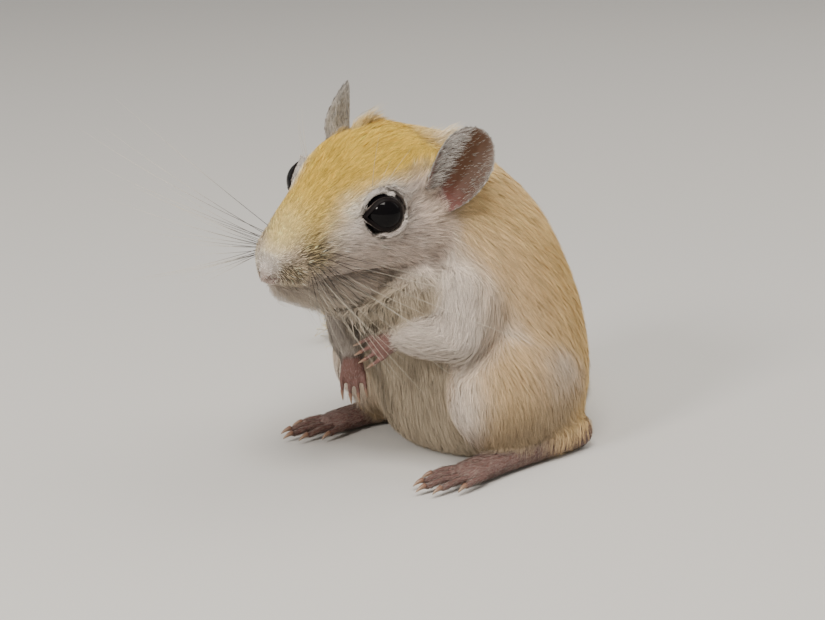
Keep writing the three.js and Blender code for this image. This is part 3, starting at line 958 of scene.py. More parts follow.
    def lie_of_hair(self):
        """The way that the hair points at each place, along the skin."""
        way = np.zeros_like(self.points)
        face = self.on("head", "lower_jaw") > 0
        way[face] = self.guided(self.head[face], both_sides(HEAD_LIE)) @ HEAD_TURNED.T
        for parts, guides in (
            (("neck", "chest", "abdomen"), both_sides(BODY_LIE)),
            (("haunch",), both_sides(HAUNCH_LIE)),
        ):
            chosen = self.on(*parts) > 0
            way[chosen] = self.guided(self.body[chosen], guides)
        way[self.on("hind_foot") > 0] = (0, -1.0, -0.05)
        ears = self.on("ear") > 0
        way[ears] = self.ear_way[ears]
        for side, arm in ARMS.items():
            for part, start, end in (("upper_arm_", "shoulder", "elbow"), ("forearm_", "elbow", "wrist")):
                way[self.owner == FLESH.index(part + side)] = Vector(arm[end]) - Vector(arm[start])
            way[self.owner == FLESH.index("forepaw_" + side)] = arm["fingers"]
        tail = self.on("tail") > 0
        path = np.array(TAIL_PATH, float)
        along = list(zip((path[1:] + path[:-1]) / 2, path[1:] - path[:-1]))
        way[tail] = self.guided(self.body[tail], along, 2)
        way = unit(way)
        firm = way.copy()
        self.stand = self.stand + 0.9 * self.on("tail") * np.clip((firm * self.out).sum(1), 0, 1) ** 2
        for _ in range(3):
            way = spread(way, self.edges, 14)
            way[ears] = firm[ears]
            way = unit(way - self.out * (way * self.out).sum(1, keepdims=True))
        off = self.head - np.outer(np.sign(self.head[:, 0]), (EYE_SPREAD, 0, 0))
        aside = np.where(self.from_lid < 4, 1.5 * bump_at(self.from_lid, 0, 0.9), 0)
        way = way + unit(off @ HEAD_TURNED.T) * aside[:, None]
        return unit(way - self.out * (way * self.out).sum(1, keepdims=True))

    def markings_light_and_shade(self):
        """The colour of the coat at each point, with painted shade under the chin, on the lower chest and
        belly, on the low haunch and on the right foreleg, and a nape that is partly painted light.
        """
        settings = coat_settings()
        gold, tan, white = (np.array(c) for c in (settings.gold, settings.tan, settings.white))
        _, y, z = self.head.T
        count = len(z)
        upper = step(z - np.interp(y, *GOLD_EDGE), -0.7, 0.7)
        ring = bump_at(self.from_lid, 0.9, 0.9)
        face = painted(
            filled(LILAC, count),
            (white, step(-z, 6.5, 10.5)),
            (CREAM, 0.6 * step(y, 2, 10) * step(z, -7, -1)),
            (gold, upper),
            (PALE_GOLD, 0.85 * upper * step(-y, 7.0, 12.5)),
            # Paler nape, partly painted light
            (NAPE, 0.9 * step(y, 8.5, 15)),
            (WHITE, ring * (0.45 + 0.55 * step(z, -2.5, 0.5))),
            (WHITE, 0.8 * self.spot("before_eye")),
            (WHITE, 0.7 * self.spot("below_eye")),
            (WHITE, 0.8 * self.spot("muzzle_top")),
            *((WHITE, 0.85 * near(self.head, place, 1.5)) for place in EAR_TUFTS),
            (WHITE, 0.45 * self.spot("over_ear_foot")),
            # Painted shade under the chin and jaw
            (SHADY, 0.6 * step(-z, 8.6, 10.6)),
            (PAD, self.pads),
            (LID_FUR, bump_at(np.maximum(self.from_lid, 0), 0, 0.65)),
            (MAUVE, self.notch),
        )

        bx, by, bz = self.body.T
        forward = (np.interp(bz, *SPINE) - by) / 14
        trunk = painted(
            np.tile(tan, (count, 1)),
            (gold, 0.25 * step(-forward, 0.1, 0.9)),
            # Paler top of the neck, partly painted light
            (NAPE, 0.8 * step(bz, 30, 38)),
            (CREAM, 0.4 * bump_at(forward, 0.1, 0.3)),
            (white, step(forward, 0.15, 0.5)),
            # Painted shade on the lower chest and belly
            (SHADY, 0.9 * step(forward, 0.4, 0.8) * step(-bz, -33, -26)),
            (white, 0.7 * near(self.body, *CHEST_MIDDLE)),
        )
        thigh = painted(
            filled(CREAM, count),
            (tan, 0.5),
            (UNDER, 0.8 * near(np.stack([np.abs(bx), by, bz], 1), *PALE_THIGH)),
            # Painted shade on the low haunch
            (LOW_HAUNCH_SHADE, 0.8 * step(-bz, -15, -6)),
            (white, step(-by, -12.5, -8.0)),
        )
        arm = toward(filled(white * 0.86, count), CREAM, 0.5 * step(by, 10, 15))
        # Painted shade: the right foreleg, on the far side, is darkened
        arm = arm * (1 - 0.35 * step(-bx, 0, 3))[:, None]
        tail = toward(filled(PALE_GOLD, count), gold, 0.5 * step(bz, 1.5, 4))

        # The hair of the paws and feet carries painted shade
        tint = filled(SHADED_PAW_HAIR, count)
        for parts, colours in (
            (("head", "lower_jaw"), face),
            (("neck", "chest", "abdomen"), trunk),
            (("haunch",), thigh),
            (("upper_arm", "forearm"), arm),
            (("tail",), tail),
        ):
            tint = np.where(self.on(*parts)[:, None] > 0, colours, tint)
        tint = spread(tint, self.edges, 14)
        silver = painted(filled(EAR_BACK, count), (EAR_DOWN, self.in_cup), (EAR_FRINGE, self.fringe))
        return np.clip(np.where(self.on("ear")[:, None] > 0, silver, tint), 0, 1)

    def skin_tint(self):
        """The colour of the skin, which only the paws, ears, nose and lids show, with painted shade in the
        pink of the paws and the brown of the ears' cups.
        """
        ear = self.on("ear")
        deep = np.exp(-((self.up_ear / 0.28) ** 2)) * ear * self.in_cup
        inside = spread(self.in_cup, self.edges, 3)
        skin = painted(
            self.tint * 0.62,
            # Pink skin of the paws and feet, with painted shade
            (SHADED_PINK_SKIN, self.on("forepaw", "hind_foot")),
            # Skin of the ear's cup, with painted shade
            (SHADED_EAR_SKIN, ear * self.in_cup),
            (EAR_DOWN, ear * (1 - self.in_cup)),
            (EAR_FOLD, ear * np.maximum(self.fringe, 0.5 * step(self.across_ear, 0.4, 0.9))),
            (EAR_DEEP, np.maximum(deep, self.notch)),
            (EAR_EDGE, ear * np.clip(4 * inside * (1 - inside), 0, 1)),
        )
        return painted(
            spread(skin, self.edges, 3),
            (PAD_SKIN, np.clip(1.3 * self.pads, 0, 0.9)),
            (SHADED_PINK_SKIN, 0.8 * self.spot("lip")),
            (NOSTRIL, self.spot("nostril")),
            (DARK_SKIN, 1 - step(self.from_lid, 0.42, 0.85)),
        )

    def coat_depth(self):
        """How far the skin lies inside the tips of the coat."""
        depth = self.length * self.stand * MM
        depth = np.minimum(depth, np.where(self.on("tail") > 0, TAIL_DEPTH, MOST_DEPTH) * MM)
        depth = np.where(self.on("ear") > 0, EAR_DEPTH * MM, depth)
        return spread(depth, self.edges, 8) * (0.1 + 0.9 * self.bare)


PELT = {}  # the drawn skin, its mesh and its faces, which the later operators grow things from


def level_round_eyes(points, from_lid):
    """The skin's points, brought to the height of the lids next to each eye, so that no edge stands there."""
    head = in_frame(points, HEAD)
    for side in SIDES.values():
        axis, forward, upward = (np.array(mirrored(way, side)) for way in eye_frame())
        off = head - np.array(mirrored((EYE_SPREAD, 0, 0), side))
        over = off @ axis
        reach = lid_reach(np.arctan2(off @ upward, off @ forward))
        level = np.sqrt(np.maximum(EYE_RADIUS**2 - reach**2, 0))
        here = (head[:, 0] * side > 0) & (over > 0)
        share = here * (1 - step(from_lid, 0.2, LEVEL_REACH))
        outward = np.array(HEAD.to_3x3() @ Vector(axis))
        points = points + (share * (level - over))[:, None] * outward
    return points


def unwrap(mesh):
    """Unwraps the skin's own shape into the map that the tufts take their places from."""
    piece = linked("Unwrapped", mesh)
    bpy.context.view_layer.objects.active = piece
    piece.select_set(True)
    mesh.uv_layers.new(name="OFBake")
    bpy.ops.object.mode_set(mode="EDIT")
    bpy.ops.mesh.select_all(action="SELECT")
    bpy.ops.uv.smart_project(angle_limit=math.radians(66), island_margin=0.002)
    bpy.ops.object.mode_set(mode="OBJECT")
    bpy.data.objects.remove(piece)


class GERBIL_OT_draw_skin(bpy.types.Operator):
    """Draw one skin over the flesh, as deep as the coat is thick"""

    bl_idname = "gerbil.draw_skin"
    bl_label = "Draw Skin"

    def execute(self, context):
        mesh = drawn_over_flesh()
        pelt = Pelt(mesh)
        pelt.points = pelt.points - pelt.out * pelt.coat_depth()[:, None]
        pelt.points = level_round_eyes(pelt.points, pelt.from_lid)
        mesh.vertices.foreach_set("co", pelt.points.ravel())
        mesh.update()
        unwrap(mesh)
        pelt.out = rows_of(mesh.vertex_normals, "vector")
        put_colours(mesh, "Tint", pelt.skin_tint())
        settled("skin", mesh, skin_material(), "coat", *FLESH)
        PELT["pelt"] = pelt
        PELT["mesh"] = mesh
        PELT["faces"] = [tuple(face.vertices) for face in mesh.polygons]
        return {"FINISHED"}


# Coat


STRAY = 0.2  # how unevenly tufts point
ROLL = 0.6  # how unevenly they turn about themselves
LENGTHS = (0.72, 1.12)  # the least and the most of each size, against the middle one
HEIGHTS = (0.45, 1.25)
WIDTHS = (0.7, 1.2)
PULLS = (0.5, 1.2)
CLUMP_REACH = 0.9 * MM  # from the tuft that leads a clump to the furthest that it draws
ROOT_DEPTH = 0.06 * MM  # how far roots are sunk in the skin
ABOVE_FLOOR = 0.03 * MM
DEEPENING = np.array([0.0, 0.7, 1.0])  # how far the colour has risen at each row of a tuft
TIP_BRIGHT = 1.1  # of the tips, against the coat's colour
SPECKLED = 0.45  # how much more uneven the colours are where the coat is speckled
BRIGHTEST = 0.95
MAP_PATCH = 0.003  # the size of a tuft on the map
TUFTS_IN_A_PIECE = 64000
SHARPNESS = 0.45  # how far a tuft is shaded by its own face, not by the skin below it


class Tufts:
    """Tapered flat tufts on the skin, gathered as arrays and made into meshes."""

    SHARES = np.array([0.0, 0.5, 1.0])
    TAPER = np.array([1.0, 0.85, 0.0])

    def __init__(self, pelt, mesh, rng):
        self.pelt = pelt
        self.rng = rng
        mesh.calc_loop_triangles()
        self.corners = rows_of(mesh.loop_triangles, "vertices", kind=np.int64)
        loops = rows_of(mesh.loop_triangles, "loops", kind=np.int64)
        self.layout = rows_of(mesh.uv_layers["OFBake"].data, "uv", 2)[loops]
        self.tree = BVHTree.FromPolygons(pelt.points.tolist(), self.corners.tolist())
        a, b, c = (pelt.points[self.corners[:, i]] for i in range(3))
        self.areas = np.linalg.norm(np.cross(b - a, c - a), axis=1) / 2 / MM**2
        self.strands = None

    def seeds(self, share, allowed):
        """Roots spread over the skin where allowed: their triangles and their places inside them."""
        thick = self.pelt.thick * allowed
        wanted = self.areas * thick[self.corners].mean(1) * share
        total = wanted.sum()
        count = int(total)
        spots = (np.arange(count) + self.rng.random(count)) * total / count
        faces = np.searchsorted(np.cumsum(wanted), spots).clip(max=len(wanted) - 1)
        inside = np.sqrt(self.rng.random(count))
        along = self.rng.random(count)
        weights = np.stack([1 - inside, inside * (1 - along), inside * along], 1)
        return faces, weights

    def at(self, values, faces, weights):
        """A field of the skin at the roots."""
        found = values[self.corners[faces]]
        if found.ndim == 3:
            return (found * weights[:, :, None]).sum(1)
        return (found * weights).sum(1)

    def onto_skin(self, points):
        """The nearest places on the skin, and the way out of it there."""
        places = np.empty_like(points)
        outs = np.empty_like(points)
        for row, point in enumerate(points):
            place, out, _, _ = self.tree.find_nearest(point)
            places[row] = place
            outs[row] = out
        return places, outs

    def grow(self, faces, weights, clumping, in_a_clump):
        """Centre lines, sides, colours and map places of tufts with these roots."""
        pelt, rng = self.pelt, self.rng
        count = len(faces)
        roots = self.at(pelt.points, faces, weights)
        out = unit(self.at(pelt.out, faces, weights))
        way = self.at(pelt.way, faces, weights)
        length = self.at(pelt.length, faces, weights) * rng.uniform(*LENGTHS, count) * MM
        across = np.cross(out, way)
        way = unit(way + across * rng.normal(0, STRAY, count)[:, None])
        way = unit(way - out * (way * out).sum(1, keepdims=True))
        height = length * self.at(pelt.stand, faces, weights) * rng.uniform(*HEIGHTS, count)
        clump = self.clumps(roots, max(1, count // in_a_clump))
        self.strands = rng.normal(0, 1, count)[clump]
        lean = unit(way + out * 0.3)
        halves, half_out = self.onto_skin(roots + lean * (length * 0.5)[:, None])
        tips, tip_out = self.onto_skin(roots + way * length[:, None])
        halves = halves + unit(half_out + out) * (height * 0.72)[:, None]
        tips = tips + unit(tip_out + half_out) * height[:, None]
        roots = roots - out * ROOT_DEPTH
        pull = clumping * rng.uniform(*PULLS, count)[:, None]
        offset = roots - roots[clump]
        near_enough = (np.linalg.norm(offset, axis=1) < CLUMP_REACH)[:, None]
        tips = tips + (tips[clump] + offset * 0.25 - tips) * pull * near_enough
        halves = halves + (halves[clump] + offset * 0.7 - halves) * pull * 0.4 * near_enough
        lines = [
            roots * ((1 - s) * (1 - 2 * s)) + halves * (4 * s * (1 - s)) + tips * (s * (2 * s - 1))
            for s in self.SHARES
        ]
        lines = np.stack(lines, 1)
        lines[:, :, 2] = np.maximum(lines[:, :, 2], ABOVE_FLOOR)
        heading = unit(tips - roots)
        flat = unit(np.cross(heading, unit(half_out + out)))
        lift = np.cross(flat, heading)
        roll = rng.normal(0, ROLL, count)[:, None]
        side = flat * np.cos(roll) + lift * np.sin(roll)
        width = self.at(pelt.width, faces, weights) * rng.uniform(*WIDTHS, count) * MM
        places = (self.layout[faces] * weights[:, :, None]).sum(1)
        face = unit(np.cross(side, heading))
        face *= np.sign((face * half_out).sum(1, keepdims=True))
        shading = unit(half_out * (1 - SHARPNESS) + face * SHARPNESS)
        return lines, side, width, places, shading

    def clumps(self, roots, number):
        """For each tuft, the tuft that its tip leans to."""
        leaders = self.rng.choice(len(roots), number, replace=False)
        tree = KDTree(number)
        for leader in leaders:
            tree.insert(roots[leader], int(leader))
        tree.balance()
        return np.array([tree.find(root)[1] for root in roots])

    def tints(self, faces, weights, dark=0.5, vary=0.12, streaks=0.1):
        """Colours along each tuft, deeper at the root, and a little alike in each clump."""
        count = len(faces)
        base = self.at(self.pelt.tint, faces, weights)
        speckle = self.at(self.pelt.speckle, faces, weights)
        shade = self.rng.normal(0, 1, count) * (vary + SPECKLED * speckle) + streaks * self.strands
        base = base * np.exp(shade)[:, None]
        dark = dark * (1 - 0.75 * speckle)
        levels = dark[:, None] + (TIP_BRIGHT - dark)[:, None] * DEEPENING
        return np.clip(base[:, None, :] * levels[:, :, None], 0, BRIGHTEST)


def tuft_mesh(name, lines, side, width, tints, places, shading):
    """One mesh of flat tapered tufts: pairs of points along each, and a single one at its tip."""
    count, rows = lines.shape[:2]
    pairs = rows - 1
    half = side * (width / 2)[:, None]
    points = np.empty((count, 2 * pairs + 1, 3))
    colours = np.empty((count, 2 * pairs + 1, 3))
    for row in range(pairs):
        points[:, 2 * row] = lines[:, row] - half * Tufts.TAPER[row]
        points[:, 2 * row + 1] = lines[:, row] + half * Tufts.TAPER[row]
        colours[:, 2 * row] = colours[:, 2 * row + 1] = tints[:, row]
    points[:, -1] = lines[:, -1]
    colours[:, -1] = tints[:, -1]
    pattern = []
    for row in range(pairs - 1):
        low = 2 * row
        pattern += [low, low + 1, low + 3, low, low + 3, low + 2]
    pattern += [2 * pairs - 2, 2 * pairs - 1, 2 * pairs]
    pattern = np.array(pattern)
    each = 2 * pairs + 1
    corners = (np.arange(count)[:, None] * each + pattern).ravel()
    mesh = bpy.data.meshes.new(name)
    mesh.vertices.add(count * each)
    mesh.vertices.foreach_set("co", points.ravel())
    mesh.loops.add(len(corners))
    mesh.loops.foreach_set("vertex_index", corners)
    mesh.polygons.add(len(corners) // 3)
    mesh.polygons.foreach_set("loop_start", np.arange(0, len(corners), 3))
    mesh.polygons.foreach_set("use_smooth", np.ones(len(corners) // 3, bool))
    mesh.update(calc_edges=True)
    mesh.normals_split_custom_set_from_vertices(np.repeat(shading, each, axis=0))
    put_colours(mesh, "Tint", colours.reshape(-1, 3))
    steps = np.empty((each, 2))
    for row in range(pairs):
        steps[2 * row : 2 * row + 2, 1] = Tufts.SHARES[row]
        steps[2 * row, 0], steps[2 * row + 1, 0] = -0.5, 0.5
    steps[-1] = (0, 1)
    patch = MAP_PATCH * (steps - np.array([0, 0.5]))
    spots = np.clip(places[:, None, :] + patch[None], 0, 1)[:, pattern]
    mesh.uv_layers.new(name="OFBake").data.foreach_set("uv", spots.ravel())
    return mesh


def settle_tufts(name, slot_name, *fields):
    """Makes tufts into pieces that are each small enough."""
    count = len(fields[0])
    parts = max(1, math.ceil(count / TUFTS_IN_A_PIECE))
    for number, chosen in enumerate(np.array_split(np.arange(count), parts), 1):
        title = f"{name}_{number}" if parts > 1 else name
        mesh = tuft_mesh(title, *(field[chosen] for field in fields))
        settled(title, mesh, coat_material(), slot_name)


def grown(name, slot_name, parts, seed, clumping=None, in_a_clump=10, **tones):
    """Grows the coat of some parts of the body."""
    pelt = PELT["pelt"]
    settings = coat_settings()
    gather = settings.clumping if clumping is None else clumping
    tufts = Tufts(pelt, PELT["mesh"], np.random.default_rng(seed))
    faces, weights = tufts.seeds(settings.thickness, pelt.on(*parts))
    lines, side, width, places, shading = tufts.grow(faces, weights, gather, in_a_clump)
    tints = tufts.tints(faces, weights, **tones)
    settle_tufts(name, slot_name, lines, side, width, tints, places, shading)


class GERBIL_OT_grow_face(bpy.types.Operator):
    """Grow the short fine coat of the head"""

    bl_idname = "gerbil.grow_face"
    bl_label = "Grow Face"

    def execute(self, context):
        grown("face_coat", "coat", ("head", "lower_jaw"), 11, vary=0.14, streaks=0.16, in_a_clump=6)
        return {"FINISHED"}


class GERBIL_OT_grow_body(bpy.types.Operator):
    """Grow the longer coat of the neck, back and belly"""

    bl_idname = "gerbil.grow_body"
    bl_label = "Grow Body"

    def execute(self, context):
        grown("body_coat", "coat", ("neck", "chest", "abdomen"), 12, dark=0.66, streaks=0.07)
        grown("haunch_coat", "coat", ("haunch",), 13, dark=0.66, streaks=0.07)
        return {"FINISHED"}


class GERBIL_OT_grow_limbs(bpy.types.Operator):
    """Grow the coat of the forelegs, and the sparse hair of the paws and feet"""

    bl_idname = "gerbil.grow_limbs"
    bl_label = "Grow Limbs"

    def execute(self, context):
        grown("arm_coat", "belly_coat", ("upper_arm", "forearm"), 14, dark=0.6)
        grown("paw_hair", "belly_coat", ("forepaw", "hind_foot"), 15, dark=0.8, clumping=0.0)
        return {"FINISHED"}


class GERBIL_OT_grow_ears(bpy.types.Operator):
    """Grow the down of the ears"""

    bl_idname = "gerbil.grow_ears"
    bl_label = "Grow Ears"

    def execute(self, context):
        grown("ear_down", "ear_skin", ("ear",), 16, dark=0.65, clumping=0.3, vary=0.14, streaks=0.1)
        return {"FINISHED"}


class GERBIL_OT_grow_tail(bpy.types.Operator):
    """Grow the coat of the tail and its brush"""

    bl_idname = "gerbil.grow_tail"
    bl_label = "Grow Tail"

    def execute(self, context):
        grown("tail_coat", "coat", ("tail",), 17, dark=0.5)
        return {"FINISHED"}


# Eyes

LID_TURNS = 90  # places round each lid
LID_EVENING = 12  # rounds that its height is smoothed
LID_DARK = 5  # how many of the places across it are dark
RAY_LENGTH = 6.0  # from which height over the eye the skin is looked for
LID_PROFILE = (  # each place across it, past the opening's edge, and its height over the skin
    (-0.2, -0.1),
    (-0.15, 0.02),
    (0, 0.05),
    (0.2, 0.05),
    (0.33, 0.02),
    (0.42, -0.06),
    (0.52, -0.3),
    (0.6, -0.9),
    (0.1, -0.6),
)


def skin_in_head():
    """The skin, to be searched in the head's own frame."""
    return BVHTree.FromPolygons(in_frame(PELT["pelt"].points, HEAD).tolist(), PELT["faces"])


class GERBIL_OT_set_eyes(bpy.types.Operator):
    """Set the wet dark eyes and their thin lids"""

    bl_idname = "gerbil.set_eyes"
    bl_label = "Set Eyes"

    def execute(self, context):
        gloss = face_settings().eye_gloss
        eye, _ = plain_material("Wet dark eye", EYE, gloss, Specular_IOR_Level=0.12)
        lid, shader = plain_material("Lid", roughness=0.5, Specular_IOR_Level=0.1)
        mottled(lid, shader, "Tint", 2600, 0.4)
        for side_name, side in SIDES.items():
            centre = HEAD @ mirrored((EYE_SPREAD, 0, 0), side)
            bm = bmesh.new()
            bmesh.ops.create_uvsphere(bm, u_segments=48, v_segments=32, radius=EYE_RADIUS * MM)
            bmesh.ops.translate(bm, verts=bm.verts, vec=centre)
            settled("eye_globe_" + side_name, mesh_of(bm, "Eye"), eye, "eye", "eye_" + side_name)
            settled("lid_" + side_name, self.lid_mesh(side), lid, "eye")
        return {"FINISHED"}

    def lid_mesh(self, side):
        """A thin rim round the opening of the eye, drawn out to a point towards the nose."""
        axis, forward, upward = (mirrored(way, side) for way in eye_frame())
        centre = mirrored((EYE_SPREAD, 0, 0), side)
        skin = skin_in_head()
        outs, heights = [], []
        for angle in np.linspace(0, 2 * math.pi, LID_TURNS, endpoint=False):
            out = forward * math.cos(angle) + upward * math.sin(angle)
            reaches = [float(lid_reach(angle)) + across for across, _ in LID_PROFILE]
            starts = [centre + out * reach + axis * RAY_LENGTH for reach in reaches]
            hits = [skin.ray_cast(start, -axis, RAY_LENGTH)[0] for start in starts]
            over = [(hit - centre).dot(axis) if hit else 0 for hit in hits]
            globe = [math.sqrt(max(EYE_RADIUS**2 - reach**2, 0)) for reach in reaches]
            outs.append([out * reach for reach in reaches])
            heights.append(np.maximum(over, globe))
        heights = np.max([np.roll(heights, turn, 0) for turn in (-2, -1, 0, 1, 2)], 0)
        for _ in range(LID_EVENING):
            heights = (np.roll(heights, 1, 0) + heights + np.roll(heights, -1, 0)) / 3
        heights = heights + [lift for _, lift in LID_PROFILE]
        bm = bmesh.new()
        rings = [
            [bm.verts.new(HEAD @ (centre + out + axis * height)) for out, height in zip(*row)]
            for row in zip(outs, heights)
        ]
        for here, there in zip(rings, rings[1:] + rings[:1]):
            for j in range(len(LID_PROFILE)):
                k = (j + 1) % len(LID_PROFILE)
                bm.faces.new((here[j], here[k], there[k], there[j]))
        bmesh.ops.recalc_face_normals(bm, faces=bm.faces)
        mesh = mesh_of(bm, "Lid")
        pale = np.arange(len(LID_PROFILE)) >= LID_DARK
        tints = toward(filled(LID, len(mesh.vertices)), LID_EDGE, np.tile(pale, LID_TURNS))
        put_colours(mesh, "Tint", tints)
        return mesh


# Whiskers and claws


def tube_mesh(name, tubes, sides=5):
    """Tapered round hairs or claws that end in a point. Each is its centre line, radii and colours."""
    points, faces, colours = [], [], []
    turns = np.linspace(0, 2 * math.pi, sides, endpoint=False)[None, :, None]
    for line, radii, tints in tubes:
        first, rows = len(points), len(line) - 1
        heading = unit(np.gradient(line, axis=0))
        across = unit(np.cross(heading, (0.31, 0.22, 0.93)))
        upward = np.cross(heading, across)
        round_about = across[:, None] * np.cos(turns) + upward[:, None] * np.sin(turns)
        rings = line[:, None] + radii[:, None, None] * round_about
        points.extend(rings[:-1].reshape(-1, 3))
        points.append(line[-1])
        colours.extend(np.repeat(tints[:-1], sides, axis=0))
        colours.append(tints[-1])
        for row in range(rows):
            for j in range(sides):
                here = first + row * sides + j
                beside = first + row * sides + (j + 1) % sides
                if row < rows - 1:
                    faces.append((here, beside, beside + sides, here + sides))
                else:
                    faces.append((here, beside, first + rows * sides))
        faces.append(tuple(first + j for j in reversed(range(sides))))
    mesh = bpy.data.meshes.new(name)
    mesh.from_pydata(points, [], faces)
    mesh.polygons.foreach_set("use_smooth", np.ones(len(faces), bool))
    put_colours(mesh, "Tint", np.array(colours))
    return mesh


HAIR_TIP = 0.004 * MM  # the radius of a long hair's tip
BROW_HAIR_WIDTH = 0.05 * MM


def bent_hair(root, way, bend, length, width, rows=16, dark=0.55):
    """One long hair, in the head's frame: dark at its root, pale beyond, and bent over as it goes."""
    share = np.linspace(0, 1, rows)[:, None]
    line = placed(np.array(root) + length * (np.array(way) * share + np.array(bend) * share**2), HEAD)
    radii = width / 2 * (1 - share[:, 0]) ** 0.8 + HAIR_TIP
    pale = toward(filled(WHISKER_ROOT, rows), WHISKER, step(share[:, 0], dark * 0.25, dark))
    return line, radii, pale


def horn_material(name, roughness):
    material, shader = plain_material(name, roughness=roughness, Specular_IOR_Level=0.45)
    mottled(material, shader, "Tint", 1500, 0.25)
    return material


class GERBIL_OT_set_whiskers(bpy.types.Operator):
    """Set the whiskers in rows on the pads of the muzzle, and the long hairs of the brow"""

    bl_idname = "gerbil.set_whiskers"
    bl_label = "Set Whiskers"

    def execute(self, context):
        settings = face_settings()
        rng = np.random.default_rng(21)
        skin = skin_in_head()
        material = horn_material("Whisker", 0.35)
        for name, side in SIDES.items():
            hairs = []
            for row in range(WHISKER_ROWS):
                for column in range(WHISKER_COLUMNS):
                    low = row / (WHISKER_ROWS - 1)
                    back = column / (WHISKER_COLUMNS - 1)
                    spot = (6.5, -12.4 + 4.2 * back + 0.3 * low, -4.3 - 3.6 * low + rng.uniform(-0.2, 0.2))
                    root = skin.find_nearest(mirrored(spot, side))[0]
                    start, end, fall = WHISKER_WAYS[name]
                    way = Vector(start).lerp(Vector(end), back * 0.75 + (1 - low) * 0.25)
                    way += Vector(fall) * (low - 0.5) + Vector(rng.normal(0, 0.09, 3))
                    length = settings.whisker_length / MM * (0.3 + 0.7 * back) * rng.uniform(0.7, 1.05)
                    length *= 0.75 + 0.25 * (1 - low)
                    width = settings.whisker_width * (0.6 + 0.4 * back)
                    bend = Vector((0, 0.06, 0.05)) + Vector(rng.normal(0, 0.05, 3))
                    hairs.append(bent_hair(root, way.normalized(), bend, length, width))
            for place, way, length in BROW_HAIRS:
                root = skin.find_nearest(mirrored(place, side))[0]
                way = mirrored(way, side).normalized()
                hairs.append(bent_hair(root, way, (0, 0.12, 0), length, BROW_HAIR_WIDTH, dark=0.08))
            settled("whiskers_" + name, tube_mesh("Whiskers", hairs), material, "whisker")
        return {"FINISHED"}


CLAW_SUNK = 0.35  # how far each claw starts inside its digit


class GERBIL_OT_set_claws(bpy.types.Operator):
    """Set a curved horn claw at the end of each finger and toe"""

    bl_idname = "gerbil.set_claws"
    bl_label = "Set Claws"

    def execute(self, context):
        material = horn_material("Claw horn", 0.3)
        share = np.linspace(0, 1, 9)
        claws = []
        for root, way, upward, reach, radius, claw in all_digits():
            base = np.array(root + way * (reach - CLAW_SUNK) + upward * radius * 0.3)
            ahead = np.outer(share * (claw + CLAW_SUNK), way)
            drop = np.outer(-0.85 * radius * share**2, upward)
            line = placed(base + ahead + drop, BODY)
            radii = 0.55 * radius * MM * (1 - share) ** 0.65
            tints = toward(filled(CLAW_ROOT, len(share)), CLAW_TIP, share)
            claws.append((line, radii, tints))
        settled("claws", tube_mesh("Claws", claws, sides=8), material, "claw")
        return {"FINISHED"}


# Stage


FLOOR_SIZE = 1.5  # metres
# Each light's name, its place from the animal's middle and its size in metres, and its power in watts
LIGHTS = (
    ("Key", (0.20, -0.20, 0.54), 0.24, 3.3),
    ("Catchlight", (0.08, -0.43, 0.26), 0.09, 1.5),
    ("Fill", (-0.40, -0.25, 0.25), 0.45, 0.25),
    ("Back", (0.10, 0.45, 0.42), 0.60, 1.9),
)
LIGHT_COLOUR = (1.0, 0.95, 0.88)
WORLD_COLOUR = (1.0, 0.97, 0.93, 1)
WORLD_STRENGTH = 0.34
LIGHTS_AIM = (0, 12, 25)  # in the body's frame
CAMERA_AIM = (8.95, -15.0)  # from the middle of the eyes, across and up in the picture


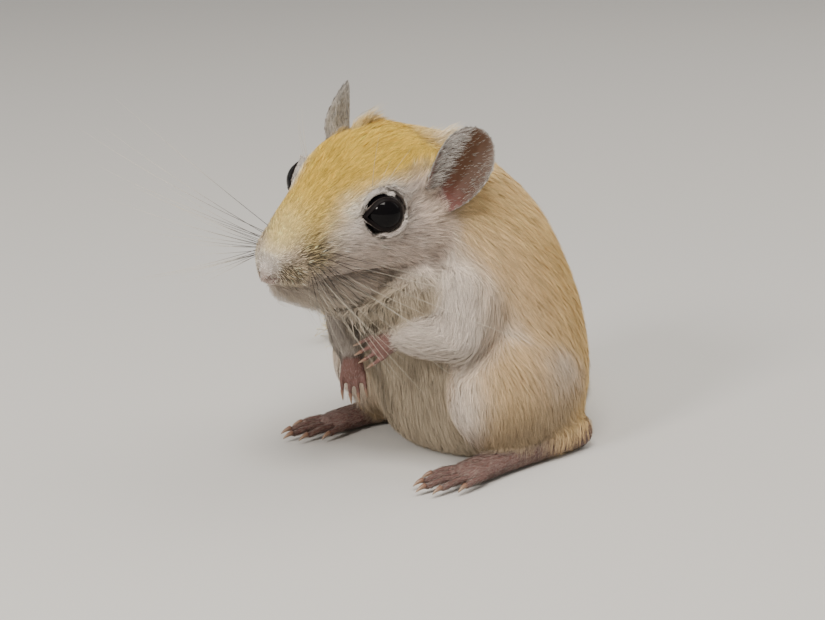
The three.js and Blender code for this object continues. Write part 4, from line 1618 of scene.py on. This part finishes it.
class GERBIL_OT_set_stage(bpy.types.Operator):
    """Set the pale floor, the soft lights and the camera"""

    bl_idname = "gerbil.set_stage"
    bl_label = "Set Stage"

    def execute(self, context):
        settings = stage_settings()
        bm = bmesh.new()
        bmesh.ops.create_grid(bm, x_segments=1, y_segments=1, size=FLOOR_SIZE)
        floor = linked("Floor", mesh_of(bm, "Floor", smooth=False))
        pale, _ = plain_material("Pale floor", settings.floor_colour, 0.75)
        floor.data.materials.append(pale)
        floor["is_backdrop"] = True
        self.set_world(settings.light)
        for name, place, size, power in LIGHTS:
            self.add_light(name, place, size, power * settings.light)
        self.set_camera(settings)
        return {"FINISHED"}

    def set_world(self, strength):
        world = bpy.data.worlds.new("Studio")
        bpy.context.scene.world = world
        world.use_nodes = True
        background = world.node_tree.nodes["Background"]
        background.inputs["Color"].default_value = WORLD_COLOUR
        background.inputs["Strength"].default_value = WORLD_STRENGTH * strength

    def add_light(self, name, place, size, power):
        """A square soft light that faces the animal."""
        light = bpy.data.lights.new(name, "AREA")
        light.size = size
        light.energy = power
        light.color = LIGHT_COLOUR
        lamp = linked(name, light)
        aim = BODY @ Vector(LIGHTS_AIM)
        lamp.location = aim + Vector(place)
        lamp.rotation_euler = (aim - lamp.location).to_track_quat("-Z", "Y").to_euler()

    def set_camera(self, settings):
        turn, tilt = settings.azimuth, settings.elevation
        ahead = Vector(
            (-math.sin(turn) * math.cos(tilt), math.cos(turn) * math.cos(tilt), -math.sin(tilt))
        )
        across = Vector((math.cos(turn), math.sin(turn), 0))
        upward = across.cross(ahead)
        aim = EYE_MIDDLE + (CAMERA_AIM[0] * across + CAMERA_AIM[1] * upward) * MM
        camera = bpy.data.cameras.new("Camera")
        camera.lens = settings.lens
        camera.sensor_width = 36
        camera.clip_start = 0.01
        camera.clip_end = 10
        holder = linked("Camera", camera)
        holder.matrix_world = (
            Matrix.Translation(aim - ahead * settings.distance)
            @ Matrix((across, upward, -ahead)).transposed().to_4x4()
        )
        bpy.context.scene.camera = holder


class GERBIL_PT_parts(bpy.types.Panel):
    """Shows the settings of the gerbil and a button for each step that builds it"""

    bl_label = "Gerbil"
    bl_idname = "GERBIL_PT_parts"
    bl_space_type = "VIEW_3D"
    bl_region_type = "UI"
    bl_category = "Gerbil"

    def draw(self, context):
        for group in (context.scene.gerbil_coat, context.scene.gerbil_face, context.scene.gerbil_stage):
            box = self.layout.box()
            for name in group.__annotations__:
                box.prop(group, name)
        for operator in STEPS:
            self.layout.operator(operator.bl_idname)


STEPS = (
    GERBIL_OT_draw_skin,
    GERBIL_OT_grow_face,
    GERBIL_OT_grow_body,
    GERBIL_OT_grow_limbs,
    GERBIL_OT_grow_ears,
    GERBIL_OT_grow_tail,
    GERBIL_OT_set_eyes,
    GERBIL_OT_set_whiskers,
    GERBIL_OT_set_claws,
    GERBIL_OT_set_stage,
)
SETTINGS = {
    "gerbil_coat": GerbilCoatSettings,
    "gerbil_face": GerbilFaceSettings,
    "gerbil_stage": GerbilStageSettings,
}


def register():
    for cls in (*SETTINGS.values(), *STEPS, GERBIL_PT_parts):
        bpy.utils.register_class(cls)
    for name, cls in SETTINGS.items():
        setattr(bpy.types.Scene, name, PointerProperty(type=cls))


def unregister():
    for name in SETTINGS:
        delattr(bpy.types.Scene, name)
    for cls in (GERBIL_PT_parts, *reversed(STEPS), *SETTINGS.values()):
        bpy.utils.unregister_class(cls)


def main():
    """Builds every piece in order."""
    register()
    for operator in STEPS:
        group, name = operator.bl_idname.split(".")
        getattr(getattr(bpy.ops, group), name)()
    boxes = {"cad": CAD_BOX, "visual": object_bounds()}
    plain = {key: [[float(value) for value in corner] for corner in corners] for key, corners in boxes.items()}


if __name__ == "__main__":
    main()
